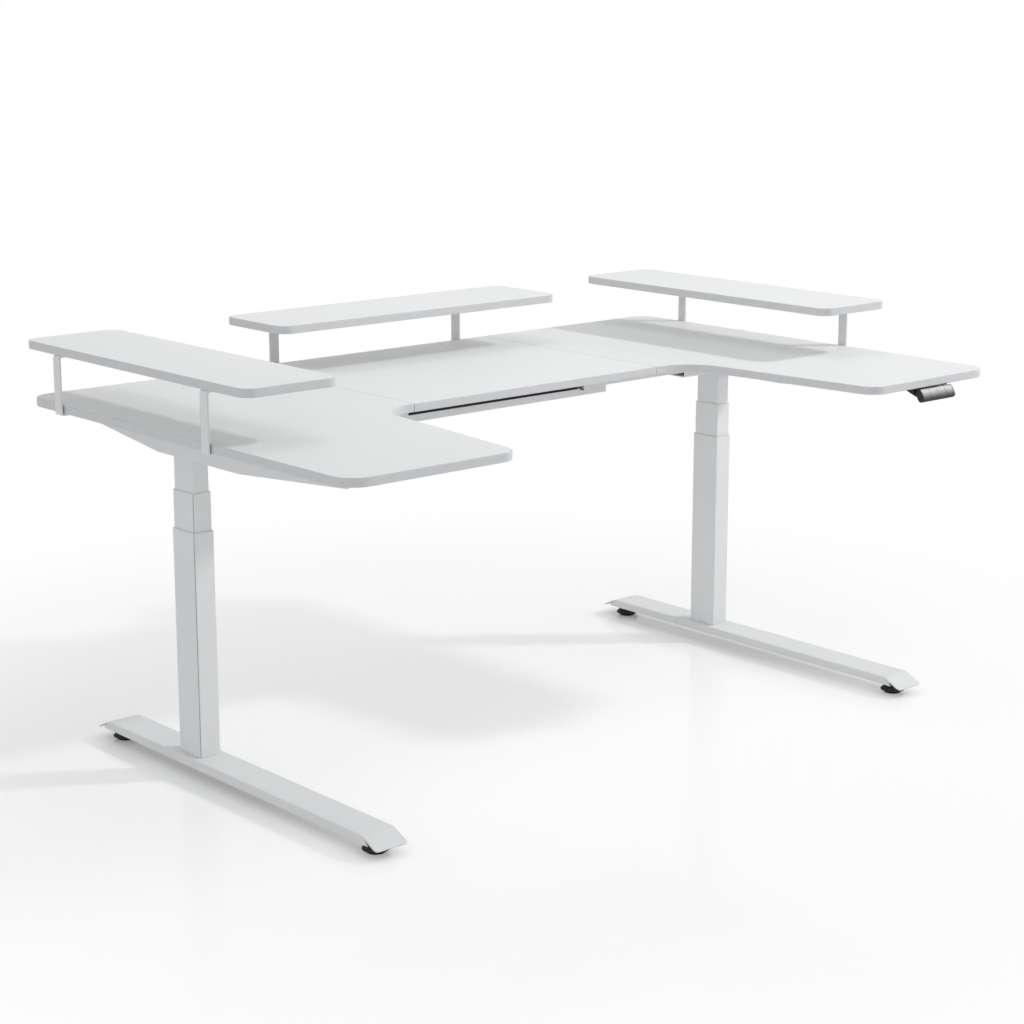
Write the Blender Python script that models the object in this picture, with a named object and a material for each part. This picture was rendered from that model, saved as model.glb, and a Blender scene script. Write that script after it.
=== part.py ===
"""U-shaped electric standing desk with three raised shelves.

Metres, +Z up. The origin lies on the floor under the middle of the whole desk.
+X runs along the desk's width and -Y points to the side where the user stands.

A three-piece board lies on a two-legged lifting frame. Each leg is a column of three
nested tubes on a long foot. A motor with a gearbox turns the spindle inside each
column, a control box lies in the crossbar, and a handset with four buttons hangs
under the front edge of the right wing. Three shelves stand on folded flat bars.
"""

import math

import bmesh
import bpy
from mathutils import Vector

# Fits
SEAT = 0.0003             # gap between two pieces that touch
SEAM_GAP = 0.0006         # gap between two boards that meet
ARC_STEPS = 8             # straight steps in a large rounded corner
BEND_STEPS = 3            # straight steps in a small bend or tube corner

# Desk board, measured from its back edge and its outer edges
TOP_WIDTH = 1.830
TOP_DEPTH = 1.124
TOP_HEIGHT = 0.771
BOARD_T = 0.018
CENTRE_WIDTH = 0.710      # from seam to seam
CENTRE_DEPTH = 0.614
WING_RETURN = 0.011       # straight run between a seam and the inner corner's arc
INNER_CORNER_R = 0.100
WING_ANGLE = math.radians(6.3)
OUTER_CORNER_R = 0.050
WING_TIP_R = 0.042
BOARD_EDGE_R = 0.0016
SEAM_PLATE = (0.100, 0.040, 0.0025)
SEAM_PLATE_INSET = 0.080  # from the centre board's back and front edges
SEAM_SCREW_PITCH = (0.074, 0.020)

# Shelves
SHELF_LENGTH = 0.816
SHELF_DEPTH = 0.224
SHELF_T = 0.018
SHELF_TOP_HEIGHT = 0.893
SHELF_CORNER_R = 0.030
SHELF_OVERHANG = 0.005    # past the desk's edge
SIDE_SHELF_CENTRE = 0.409 # from the desk's back edge

# Shelf brackets, folded from flat bar
BRACKET_W = 0.025
BRACKET_T = 0.004
BRACKET_GAP = 0.003       # between the bar and the desk's edge
BRACKET_PITCH = 0.544
BRACKET_BEND_R = 0.003
BRACKET_TOP = (0.100, 0.050)   # reach of the flange and pitch of its screws
BRACKET_FOOT = (0.050, 0.022)

# Screws and bolts: head radius, head height and shank radius
SCREW = (0.0045, 0.0024, 0.0022)
RAIL_BOLT = (0.0055, 0.0035, 0.0030)
FOOT_BOLT = (0.0065, 0.0050, 0.0040)
SCREW_BITE = 0.011        # length in the board
FOOT_BOLT_PITCH = (0.028, 0.056)
SCREW_STEPS = 8

# Columns
COLUMN_INSET = 0.146      # column axis to the desk's outer edge
COLUMN_BACK = 0.396       # column axis to the desk's back edge
OUTER_TUBE = (0.050, 0.080)
TUBE_WALL = 0.0015
STAGE_GAP = 0.0010        # between one tube and the next
TUBE_CORNER_R = 0.0040
OUTER_TUBE_LENGTH = 0.484
BASE_PLATE_T = 0.005
LOWEST_REVEAL = 0.0135    # what shows of each inner tube with the desk right down
STOP_GAP = 0.005
COLLAR_H = 0.010
COLLAR_WIDTH = 0.0050

# Lifting gear inside a column
SPINDLE_R = 0.006
POST_R = 0.010
POST_BORE_R = 0.007
SLEEVE_R = 0.015
SLEEVE_BORE_R = 0.013
SLEEVE_PLATE_T = 0.005
NUT_LENGTH = 0.025
NUT_FLANGE_T = 0.005
HEAD_CLEARANCE = 0.022    # from the upper nut to the motor housing, desk right down
NUT_CLEARANCE = 0.010     # from the upper nut to the post, desk right down
SPINDLE_CLEARANCE = 0.025 # from the spindle to the base plate, desk right down
SPINDLE_SOCKET = 0.008
ROUND_STEPS = 16

# Feet
FOOT_WIDTH = 0.080
FOOT_TOP = 0.045
FOOT_BACK = 0.093         # back end of the flat top to the desk's back edge
FOOT_FLAT = 0.913
FOOT_FLAP_REACH = 0.044   # how far a sloped end flap reaches past the flat top
FOOT_FLAP_ANGLE = math.radians(22)
FOOT_SHEET_T = 0.0025
FOOT_BEND_R = 0.0030
FOOT_TIP_R = 0.010
PAD_R = 0.0275
PAD_H = 0.015
PAD_INSET = 0.008         # pad axis to the end of the foot's flat top
STUD_R = 0.004
BOSS_R = 0.008
BOSS_H = 0.017
STUD_TOP_GAP = 0.002

# Motor housings, side brackets and crossbar
SHEET_T = 0.002
SHEET_BEND_R = 0.001
HEAD_DEPTH = 0.061        # underside of the board to the underside of a motor housing
HEAD_WIDTH = 0.080
HOUSING_REACH = 0.142     # column axis to the housing's inner end
SIDE_BRACKET_T = 0.003
SIDE_BRACKET_OUT = 0.024  # column axis to the bracket's outer face
SIDE_BRACKET_FLANGE = 0.050
SIDE_BRACKET_DEPTH = 0.072
SIDE_BRACKET_END = 0.043  # depth of the bracket's two ends
SIDE_BRACKET_BACK = 0.075 # bracket's back end to the desk's back edge
SIDE_BRACKET_FRONT = 0.164  # bracket's front end to the desk's front edge
SIDE_BRACKET_LEVEL = (0.084, 0.208)  # level stretch behind and before the column
SIDE_SCREW_INSET = 0.035
SIDE_SCREW_OFFSET = 0.110
CROSSBAR_LENGTH = 0.730
CROSSBAR_DEPTH = 0.0648   # underside of the board to the underside of the crossbar
CROSSBAR_LIP = 0.012
NOTCH_SPAN = (-0.230, 0.293)  # along X, in the crossbar's front wall
NOTCH_DROP = 0.0458       # underside of the board to the notch's lower edge
RAIL_DEPTH = 0.0492       # underside of the board to the underside of a rail
RAIL_IN_CROSSBAR = 0.050
RAIL_IN_HOUSING = 0.036
CROSSBAR_SCREWS = 0.270   # from the middle of the desk, on the rear lip
FRONT_LIP_SCREW_INSET = 0.011  # from an end of the notch

# Drives and control box
GEARBOX = (0.050, 0.064, 0.050)
GEARBOX_EDGE = 0.004
GEARBOX_OUT = 0.018       # column axis to the gearbox's outer face
MOTOR_R = 0.023
MOTOR_LENGTH = 0.060
MOTOR_CAP_R = 0.019
MOTOR_CAP_LENGTH = 0.005
CONTROL_BOX_WIDTH = 0.070
CONTROL_BOX_H = 0.036
CONTROL_BOX_PAST = (0.006, -0.015)  # past the notch's left and right ends
CONTROL_BOX_EDGE = 0.002
CONTROL_CAP_LENGTH = 0.028
INLET = (0.024, 0.016, 0.014)
CLIP_T = 0.0016
CLIP_W = 0.010
CLIP_DROP = 0.0062

# Handset
HANDSET_INSET = 0.1965    # middle of the handset to the desk's right edge
HANDSET_REACH = 0.0158    # past the desk's front edge
HANDSET_TILT = math.radians(32)
HANDSET_LENGTH = 0.113
HANDSET_HEIGHT = 0.030
HANDSET_T = 0.014
HANDSET_CAP = 0.003       # width of an end wall
BUTTON_COUNT = 4
BUTTON_GAP = 0.0006
BUTTON_HEIGHT = 0.0236
BUTTON_DEPTH = 0.0036     # behind the handset's face
BUTTON_TRAVEL = 0.0010
BUTTON_PLAY = 0.0006      # left behind a pressed button
MOUNT_PLATE_T = 0.0024
MOUNT_PLATE_SIZE = (0.135, 0.072)
MOUNT_PLATE_SHIFT = -0.001
MOUNT_NECK = (0.086, 0.039)
MOUNT_SCREW_SPREAD = 0.110

# Heights and places that follow from the sizes above
UNDERSIDE = TOP_HEIGHT - BOARD_T
FLANGE_TOP = UNDERSIDE - SEAT
BRACKET_PROUD = BRACKET_GAP + BRACKET_T
BACK_Y = (TOP_DEPTH + HANDSET_REACH - BRACKET_PROUD) / 2
FRONT_Y = BACK_Y - TOP_DEPTH
SEAM_X = CENTRE_WIDTH / 2
COLUMN_X = TOP_WIDTH / 2 - COLUMN_INSET
COLUMN_Y = BACK_Y - COLUMN_BACK
HOUSING_BOTTOM = UNDERSIDE - HEAD_DEPTH
HOUSING_TOP = FLANGE_TOP - SIDE_BRACKET_T - SEAT
OUTER_TUBE_TOP = FOOT_TOP + OUTER_TUBE_LENGTH
REVEAL = (HOUSING_BOTTOM - OUTER_TUBE_TOP) / 2
STAGE_DOWN = REVEAL - LOWEST_REVEAL
BASE_PLATE_TOP = FOOT_TOP + SEAT + BASE_PLATE_T
MIDDLE_BOTTOM = BASE_PLATE_TOP + STOP_GAP + STAGE_DOWN + COLLAR_H + SEAT
MIDDLE_TOP = OUTER_TUBE_TOP + REVEAL
SLEEVE_PLATE_TOP = MIDDLE_BOTTOM + SLEEVE_PLATE_T
INNER_BOTTOM = SLEEVE_PLATE_TOP + STOP_GAP + STAGE_DOWN + COLLAR_H + SEAT
INNER_TOP = HOUSING_BOTTOM - SEAT
SLEEVE_TOP = HOUSING_BOTTOM - STAGE_DOWN - HEAD_CLEARANCE - NUT_FLANGE_T
UPPER_NUT_BOTTOM = SLEEVE_TOP - NUT_LENGTH
POST_TOP = UPPER_NUT_BOTTOM - STAGE_DOWN - NUT_CLEARANCE
SPINDLE_BOTTOM = BASE_PLATE_TOP + 2 * STAGE_DOWN + SPINDLE_CLEARANCE
GEARBOX_BOTTOM = HOUSING_BOTTOM + SHEET_T + SEAT
CROSSBAR_BOTTOM = UNDERSIDE - CROSSBAR_DEPTH
FOOT_TIP_HIGH = FOOT_TOP - FOOT_FLAP_REACH * math.tan(FOOT_FLAP_ANGLE)
FOOT_LIP = FOOT_TIP_HIGH - FOOT_SHEET_T * math.cos(FOOT_FLAP_ANGLE)
HANDSET_TOP = FLANGE_TOP - MOUNT_PLATE_T - SEAT

WHITE_LAMINATE = ("white_laminate", (0.80, 0.80, 0.81), 0.45, 0.0)
WHITE_STEEL = ("white_powder_coat", (0.76, 0.77, 0.78), 0.50, 0.0)
BARE_STEEL = ("zinc_plated_steel", (0.55, 0.56, 0.58), 0.35, 1.0)
BRASS = ("brass", (0.72, 0.58, 0.30), 0.35, 1.0)
BLACK_PLASTIC = ("black_plastic", (0.02, 0.02, 0.022), 0.50, 0.0)
GREY_PLASTIC = ("silver_grey_plastic", (0.38, 0.38, 0.39), 0.40, 0.2)
NATURAL_NYLON = ("natural_nylon", (0.74, 0.73, 0.68), 0.45, 0.0)


def clear_scene():
    """Remove every object that the file starts with."""
    for item in list(bpy.data.objects):
        bpy.data.objects.remove(item, do_unlink=True)


def material(look):
    """Return the named material, making it the first time."""
    name, colour, roughness, metallic = look
    if name in bpy.data.materials:
        return bpy.data.materials[name]
    made = bpy.data.materials.new(name)
    made.use_nodes = True
    shader = made.node_tree.nodes["Principled BSDF"]
    shader.inputs["Base Color"].default_value = (*colour, 1.0)
    shader.inputs["Roughness"].default_value = roughness
    shader.inputs["Metallic"].default_value = metallic
    made.diffuse_color = (*colour, 1.0)
    return made


def finish(name, bm, look=None, parent=None, smooth=False):
    """Turn a bmesh into a named object whose faces point outward."""
    bmesh.ops.recalc_face_normals(bm, faces=bm.faces)
    mesh = bpy.data.meshes.new(name)
    bm.to_mesh(mesh)
    bm.free()
    if smooth:
        mesh.shade_smooth()
        mesh.set_sharp_from_angle(angle=math.radians(35))
    piece = bpy.data.objects.new(name, mesh)
    bpy.context.collection.objects.link(piece)
    if look:
        mesh.materials.append(material(look))
    piece.parent = parent
    return piece


def empty(name, location, parent=None):
    """Return an empty that carries the pieces of one moving body."""
    frame = bpy.data.objects.new(name, None)
    frame.location = location
    frame.parent = parent
    bpy.context.collection.objects.link(frame)
    return frame


def space(axis, u, v, along):
    """Return the point at (u, v) in the plane across an axis."""
    return {"X": (along, u, v), "Y": (u, along, v), "Z": (u, v, along)}[axis]


def rectangle(width, depth):
    """Return a rectangle's corners around the origin, anticlockwise."""
    x = width / 2
    y = depth / 2
    return [(-x, -y), (x, -y), (x, y), (-x, y)]


def box_outline(low, high):
    """Return the corners between two opposite points, anticlockwise."""
    return [low, (high[0], low[1]), high, (low[0], high[1])]


def corner_arc(before, corner, after, radius, steps):
    """Return the arc that rounds one corner, with its centre and its turn."""
    corner = Vector(corner)
    back = (Vector(before) - corner).normalized()
    ahead = (Vector(after) - corner).normalized()
    half = back.angle(ahead) / 2
    centre = corner + (back + ahead).normalized() * radius / math.sin(half)
    spoke = corner + back * radius / math.tan(half) - centre
    turn = math.copysign(math.pi - 2 * half, ahead.x * back.y - ahead.y * back.x)
    points = []
    for step in range(steps + 1):
        angle = turn * step / steps
        across = Vector((-spoke.y, spoke.x))
        points.append(centre + spoke * math.cos(angle) + across * math.sin(angle))
    return points, centre, turn


def rounded(corners, radii, steps=ARC_STEPS):
    """Return a closed outline with each corner rounded by its own radius."""
    outline = []
    for index, corner in enumerate(corners):
        if radii[index] <= 0:
            outline.append(corner)
            continue
        before = corners[index - 1]
        after = corners[(index + 1) % len(corners)]
        arc, _, _ = corner_arc(before, corner, after, radii[index], steps)
        outline += [tuple(point) for point in arc]
    return outline


def rounded_rectangle(width, depth, radius, steps=BEND_STEPS):
    """Return a rectangle with four rounded corners."""
    return rounded(rectangle(width, depth), [radius] * 4, steps)


def bent_strip(path, thickness, bend, steps=BEND_STEPS):
    """Return the outline of a strip folded along an open path.

    The path is the strip's outer face and turns one way only. The material lies
    on the inner side, with the given radius inside each bend.
    """
    outer = [Vector(path[0])]
    inner = []
    for before, corner, after in zip(path, path[1:], path[2:]):
        arc, centre, turn = corner_arc(before, corner, after, bend + thickness, steps)
        side = math.copysign(1.0, turn)
        outer += arc
        inner += [centre + (point - centre) * bend / (bend + thickness) for point in arc]
    ends = []
    for start, along in ((0, Vector(path[1]) - Vector(path[0])),
                         (-1, Vector(path[-1]) - Vector(path[-2]))):
        across = Vector((-along.y, along.x)).normalized() * side * thickness
        ends.append(Vector(path[start]) + across)
    outer.append(Vector(path[-1]))
    inner = [ends[0]] + inner + [ends[1]]
    return [tuple(point) for point in outer + inner[::-1]]


def prism(name, outline, axis, start, end, look=None, parent=None, smooth=False):
    """Extrude a closed outline along an axis."""
    bm = bmesh.new()
    ring = [bm.verts.new(space(axis, u, v, start)) for u, v in outline]
    cap = bm.faces.new(ring)
    swept = bmesh.ops.extrude_face_region(bm, geom=[cap])
    moved = [item for item in swept["geom"] if isinstance(item, bmesh.types.BMVert)]
    bmesh.ops.translate(bm, verts=moved, vec=space(axis, 0, 0, end - start))
    return finish(name, bm, look, parent, smooth)


def box(name, low, high, look=None, parent=None):
    """Make a box between two opposite corners."""
    return prism(name, box_outline(low[:2], high[:2]), "Z", low[2], high[2], look, parent)


def tube(name, outer, inner, start, end, look=None, parent=None):
    """Extrude the ring between two outlines of equal point count along Z."""
    bm = bmesh.new()
    loops = []
    for outline, height in ((outer, start), (outer, end), (inner, end), (inner, start)):
        loops.append([bm.verts.new((u, v, height)) for u, v in outline])
    count = len(outer)
    for loop, following in zip(loops, loops[1:] + loops[:1]):
        for index in range(count):
            ahead = (index + 1) % count
            bm.faces.new((loop[index], loop[ahead], following[ahead], following[index]))
    return finish(name, bm, look, parent, smooth=True)


def lathe(name, profile, steps, look=None, parent=None, hollow=False):
    """Spin a profile of (radius, height) points around Z."""
    bm = bmesh.new()
    points = [bm.verts.new((radius, 0.0, height)) for radius, height in profile]
    pairs = list(zip(points, points[1:]))
    if hollow:
        pairs.append((points[-1], points[0]))
    edges = [bm.edges.new(pair) for pair in pairs]
    bmesh.ops.spin(bm, geom=points + edges, cent=(0, 0, 0), axis=(0, 0, 1),
                   dvec=(0, 0, 0), angle=2 * math.pi, steps=steps)
    bmesh.ops.remove_doubles(bm, verts=bm.verts, dist=1e-6)
    return finish(name, bm, look, parent, smooth=True)


def merge_meshes(name, pieces, look=None, parent=None):
    """Gather the meshes of several objects in one object, as separate bodies."""
    bm = bmesh.new()
    for piece in pieces:
        start = len(bm.verts)
        bm.from_mesh(piece.data)
        bm.verts.ensure_lookup_table()
        bmesh.ops.transform(bm, matrix=piece.matrix_basis, verts=bm.verts[start:])
        bpy.data.objects.remove(piece, do_unlink=True)
    return finish(name, bm, look, parent)


def rods(name, places, radius, axis, start, end, steps=SCREW_STEPS, parent=None):
    """Make one object of equal rods whose flats lie at the given radius."""
    made = []
    reach = radius / math.cos(math.pi / steps)
    for u, v in places:
        circle = []
        for step in range(steps):
            angle = 2 * math.pi * step / steps
            circle.append((u + reach * math.cos(angle), v + reach * math.sin(angle)))
        made.append(prism(name, circle, axis, start, end))
    return merge_meshes(name, made, parent=parent)


def combine(piece, tool, operation="DIFFERENCE"):
    """Cut a tool from a piece, or add or keep it, with a Boolean modifier."""
    tool.hide_render = True
    tool.display_type = "WIRE"
    step = piece.modifiers.new(tool.name, "BOOLEAN")
    step.operation = operation
    step.solver = "EXACT"
    step.object = tool


def soften(piece, width, segments=1):
    """Round the sharp edges of a piece with a Bevel modifier."""
    step = piece.modifiers.new("soft_edges", "BEVEL")
    step.width = width
    step.segments = segments
    step.limit_method = "ANGLE"
    step.angle_limit = math.radians(50)


def drill(name, piece, places, radius, axis, start, end):
    """Cut holes through a piece, or blind holes into it, along an axis."""
    combine(piece, rods(name, places, radius, axis, start, end, parent=piece.parent))


def drive(name, piece, seats, size, buried, length, tilt=0.0):
    """Unite a piece with the screws or bolts that are driven through it.

    A seat is the point where a head meets the piece. The head's material goes a
    little way into the piece, and the shank has the given length from the seat.
    """
    head_r, head_h, shank_r = size
    profile = [(0.0, -head_h), (head_r, -head_h), (head_r, buried), (shank_r, buried),
               (shank_r, length), (0.0, length)]
    made = []
    for seat in seats:
        item = lathe(name, profile, SCREW_STEPS)
        item.location = seat
        item.rotation_euler = (tilt, 0.0, 0.0)
        made.append(item)
    combine(piece, merge_meshes(name, made, parent=piece.parent), "UNION")


def screw_up(piece, places, flange_bottom, flange_t, label="screws"):
    """Unite a flange with wood screws that go up into the board above it."""
    seats = [(x, y, flange_bottom) for x, y in places]
    length = flange_t + SEAT + SCREW_BITE
    drive(piece.name + "_" + label, piece, seats, SCREW, flange_t / 2, length)


def drill_pilots(piece, places, underside):
    """Cut blind pilot holes for wood screws into the underside of a board."""
    drill(piece.name + "_pilots", piece, places, SCREW[2] + SEAT, "Z",
          underside - SEAT, underside + SCREW_BITE + 2 * SEAT)


def wing_outline(side):
    """Return the outline of a wing board, with its rounded inner corner."""
    seam = SEAM_X + SEAM_GAP / 2
    edge = TOP_WIDTH / 2
    arc_x = CENTRE_WIDTH / 2 + WING_RETURN
    inner_y = BACK_Y - CENTRE_DEPTH
    touch_x = arc_x + INNER_CORNER_R * math.cos(WING_ANGLE)
    touch_y = inner_y - INNER_CORNER_R + INNER_CORNER_R * math.sin(WING_ANGLE)
    corner_x = touch_x - (inner_y - touch_y) * math.tan(WING_ANGLE)
    tip_x = touch_x + (touch_y - FRONT_Y) * math.tan(WING_ANGLE)
    corners = [(seam, BACK_Y), (seam, inner_y), (corner_x, inner_y), (tip_x, FRONT_Y),
               (edge, FRONT_Y), (edge, BACK_Y)]
    radii = [0.0, 0.0, INNER_CORNER_R, WING_TIP_R, OUTER_CORNER_R, OUTER_CORNER_R]
    outline = rounded(corners, radii)
    return [(side * x, y) for x, y in outline]


def board(name, outline, underside, thickness, pilots, parent):
    """Make a board with rounded edges, except along a seam, and with pilot holes."""
    bm = bmesh.new()
    ring = [bm.verts.new((x, y, underside)) for x, y in outline]
    swept = bmesh.ops.extrude_face_region(bm, geom=[bm.faces.new(ring)])
    moved = [item for item in swept["geom"] if isinstance(item, bmesh.types.BMVert)]
    bmesh.ops.translate(bm, verts=moved, vec=(0.0, 0.0, thickness))
    seam = SEAM_X + SEAM_GAP
    edges = []
    for edge in bm.edges:
        first, second = (vert.co for vert in edge.verts)
        level = abs(first.z - second.z) < thickness / 2
        at_seam = max(abs(first.x), abs(second.x)) < seam and abs(first.x - second.x) < SEAM_GAP
        if level and not at_seam:
            edges.append(edge)
    bmesh.ops.bevel(bm, geom=edges, offset=BOARD_EDGE_R, segments=2, profile=0.5,
                    affect="EDGES")
    piece = finish(name, bm, WHITE_LAMINATE, parent)
    drill_pilots(piece, pilots, underside)
    return piece


def bracket_places():
    """Return each shelf bracket's name, place on the desk's edge and direction inward."""
    half = BRACKET_PITCH / 2
    side_y = BACK_Y - SIDE_SHELF_CENTRE
    edge = TOP_WIDTH / 2
    return [
        ("shelf_bracket_left_rear", (-edge, side_y + half), (1, 0)),
        ("shelf_bracket_left_front", (-edge, side_y - half), (1, 0)),
        ("shelf_bracket_back_left", (-half, BACK_Y), (0, -1)),
        ("shelf_bracket_back_right", (half, BACK_Y), (0, -1)),
        ("shelf_bracket_right_rear", (edge, side_y + half), (-1, 0)),
        ("shelf_bracket_right_front", (edge, side_y - half), (-1, 0)),
    ]


def bracket_screws(place, inward, flange):
    """Return the places of the two screws in one flange of a shelf bracket."""
    reach, pitch = flange
    middle = (reach + BRACKET_T) / 2 - BRACKET_PROUD
    points = []
    for shift in (middle - pitch / 2, middle + pitch / 2):
        points.append((place[0] + inward[0] * shift, place[1] + inward[1] * shift))
    return points


def build_shelf_bracket(name, place, inward, parent):
    """Fold a flat bar from under the desk, up its edge, to under the shelf."""
    low = FLANGE_TOP - BRACKET_T
    high = SHELF_TOP_HEIGHT - SHELF_T - SEAT
    path = [(BRACKET_FOOT[0], low), (0.0, low), (0.0, high), (BRACKET_TOP[0], high)]
    section = bent_strip(path, BRACKET_T, BRACKET_BEND_R)
    axis = "Y" if inward[0] else "X"
    direction = inward[0] + inward[1]
    origin = place[0] if inward[0] else place[1]
    across = place[1] if inward[0] else place[0]
    outline = [(origin + direction * (u - BRACKET_PROUD), v) for u, v in section]
    piece = prism(name, outline, axis, across - BRACKET_W / 2, across + BRACKET_W / 2,
                  WHITE_STEEL, parent)
    screw_up(piece, bracket_screws(place, inward, BRACKET_FOOT), low, BRACKET_T,
             "foot_screws")
    screw_up(piece, bracket_screws(place, inward, BRACKET_TOP), high - BRACKET_T,
             BRACKET_T, "top_screws")


def build_shelves(parent):
    """Build the shelves with their brackets, and return the desk's pilot holes."""
    shelf_pilots = {"left": [], "back": [], "right": []}
    desk_pilots = {"left": [], "back": [], "right": []}
    for name, place, inward in bracket_places():
        build_shelf_bracket(name, place, inward, parent)
        shelf = name.split("_")[2]
        shelf_pilots[shelf] += bracket_screws(place, inward, BRACKET_TOP)
        desk_pilots[shelf] += bracket_screws(place, inward, BRACKET_FOOT)
    shelf_bottom = SHELF_TOP_HEIGHT - SHELF_T
    side_x = TOP_WIDTH / 2 + SHELF_OVERHANG - SHELF_DEPTH / 2
    side_y = BACK_Y - SIDE_SHELF_CENTRE
    back_y = BACK_Y + SHELF_OVERHANG - SHELF_DEPTH / 2
    layout = [
        ("left", (-side_x, side_y), (SHELF_DEPTH, SHELF_LENGTH)),
        ("back", (0.0, back_y), (SHELF_LENGTH, SHELF_DEPTH)),
        ("right", (side_x, side_y), (SHELF_DEPTH, SHELF_LENGTH)),
    ]
    for key, centre, size in layout:
        flat = rounded_rectangle(size[0], size[1], SHELF_CORNER_R, ARC_STEPS)
        outline = [(centre[0] + u, centre[1] + v) for u, v in flat]
        board("shelf_" + key, outline, shelf_bottom, SHELF_T, shelf_pilots[key], parent)
    return desk_pilots


def build_seam_plates(parent):
    """Build the flat plates that join the boards, and return their pilot holes."""
    pilots = {-1: [], 0: [], 1: []}
    width, depth, thickness = SEAM_PLATE
    bottom = FLANGE_TOP - thickness
    rows = (("rear", BACK_Y - SEAM_PLATE_INSET),
            ("front", BACK_Y - CENTRE_DEPTH + SEAM_PLATE_INSET))
    for label, side in (("left", -1), ("right", 1)):
        for row, y in rows:
            x = side * SEAM_X
            plate = box("seam_plate_" + label + "_" + row,
                        (x - width / 2, y - depth / 2, bottom),
                        (x + width / 2, y + depth / 2, FLANGE_TOP), BARE_STEEL, parent)
            places = [(x + u, y + v) for u, v in rectangle(*SEAM_SCREW_PITCH)]
            screw_up(plate, places, bottom, thickness)
            for place in places:
                owner = side if abs(place[0]) > SEAM_X else 0
                pilots[owner].append(place)
    return pilots


def side_screw_places(side):
    """Return where screws go through a side bracket's flange."""
    x = side * (COLUMN_X + SIDE_BRACKET_OUT - SIDE_BRACKET_FLANGE / 2)
    back = BACK_Y - SIDE_BRACKET_BACK
    front = FRONT_Y + SIDE_BRACKET_FRONT
    ys = (back - SIDE_SCREW_INSET, COLUMN_Y + SIDE_SCREW_OFFSET,
          COLUMN_Y - SIDE_SCREW_OFFSET, front + SIDE_SCREW_INSET)
    return [(x, y) for y in ys]


def crossbar_screw_places():
    """Return where screws go through the crossbar's two lips."""
    middle = HEAD_WIDTH / 2 - (CROSSBAR_LIP + SHEET_T) / 2
    rear = [(x, COLUMN_Y + middle) for x in (-CROSSBAR_SCREWS, 0.0, CROSSBAR_SCREWS)]
    front_x = (NOTCH_SPAN[0] - FRONT_LIP_SCREW_INSET, NOTCH_SPAN[1] + FRONT_LIP_SCREW_INSET)
    return rear + [(x, COLUMN_Y - middle) for x in front_x]


def mount_screw_places():
    """Return where screws hold the handset's mount under the right wing."""
    x = TOP_WIDTH / 2 - HANDSET_INSET + MOUNT_PLATE_SHIFT
    y = FRONT_Y + (MOUNT_PLATE_SIZE[1] + MOUNT_NECK[1]) / 2
    return [(x - MOUNT_SCREW_SPREAD / 2, y), (x + MOUNT_SCREW_SPREAD / 2, y)]


def build_top(parent):
    """Build the three desk boards with a pilot hole for every screw."""
    shelf_pilots = build_shelves(parent)
    seam_pilots = build_seam_plates(parent)
    centre = box_outline((-SEAM_X + SEAM_GAP / 2, BACK_Y - CENTRE_DEPTH),
                         (SEAM_X - SEAM_GAP / 2, BACK_Y))
    pilots = shelf_pilots["back"] + seam_pilots[0] + crossbar_screw_places()
    board("centre_board", centre, UNDERSIDE, BOARD_T, pilots, parent)
    pilots = shelf_pilots["left"] + seam_pilots[-1] + side_screw_places(-1)
    board("left_wing_board", wing_outline(-1), UNDERSIDE, BOARD_T, pilots, parent)
    pilots = shelf_pilots["right"] + seam_pilots[1] + side_screw_places(1)
    pilots += mount_screw_places()
    board("right_wing_board", wing_outline(1), UNDERSIDE, BOARD_T, pilots, parent)


def tube_size(stage):
    """Return the outer width and depth of a column tube: stage 0, 1 or 2."""
    step = 2 * stage * (TUBE_WALL + STAGE_GAP)
    return (OUTER_TUBE[0] - step, OUTER_TUBE[1] - step)


def tube_outline(size, inset=0.0):
    """Return a tube's section, drawn in by an inset."""
    radius = max(TUBE_CORNER_R - inset, TUBE_CORNER_R / 4)
    return rounded_rectangle(size[0] - 2 * inset, size[1] - 2 * inset, radius)


def build_outer_tube(label, parent):
    """Build the lowest tube, closed below by its welded and drilled plate."""
    size = tube_size(0)
    bottom = FOOT_TOP + SEAT
    piece = prism("outer_tube_" + label, tube_outline(size), "Z", bottom, OUTER_TUBE_TOP,
                  WHITE_STEEL, parent, smooth=True)
    bore = prism("outer_tube_bore_" + label, tube_outline(size, TUBE_WALL), "Z",
                 BASE_PLATE_TOP, OUTER_TUBE_TOP + TUBE_WALL, parent=parent)
    combine(piece, bore)
    drill("base_plate_holes_" + label, piece, rectangle(*FOOT_BOLT_PITCH),
          FOOT_BOLT[2] + SEAT, "Z", bottom - SEAT, BASE_PLATE_TOP + SEAT)


def build_sliding_tube(name, collar_name, stage, bottom, top, parent):
    """Build a sliding tube and the guide collar at its lower end."""
    size = tube_size(stage)
    tube(name, tube_outline(size), tube_outline(size, TUBE_WALL), bottom, top,
         WHITE_STEEL, parent)
    guide = tube_size(stage - 1)
    reach = TUBE_WALL + SEAT
    outer = tube_outline(guide, reach)
    inner = tube_outline(guide, reach + COLLAR_WIDTH)
    tube(collar_name, outer, inner, bottom - SEAT - COLLAR_H, bottom - SEAT,
         NATURAL_NYLON, parent)


def cylinder(radius, start, end):
    """Return the profile of a solid cylinder for the lathe."""
    return [(0.0, start), (radius, start), (radius, end), (0.0, end)]


def pipe(radius, bore, start, end):
    """Return the profile of an open pipe for the lathe."""
    return [(radius, start), (radius, end), (bore, end), (bore, start)]


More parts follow.
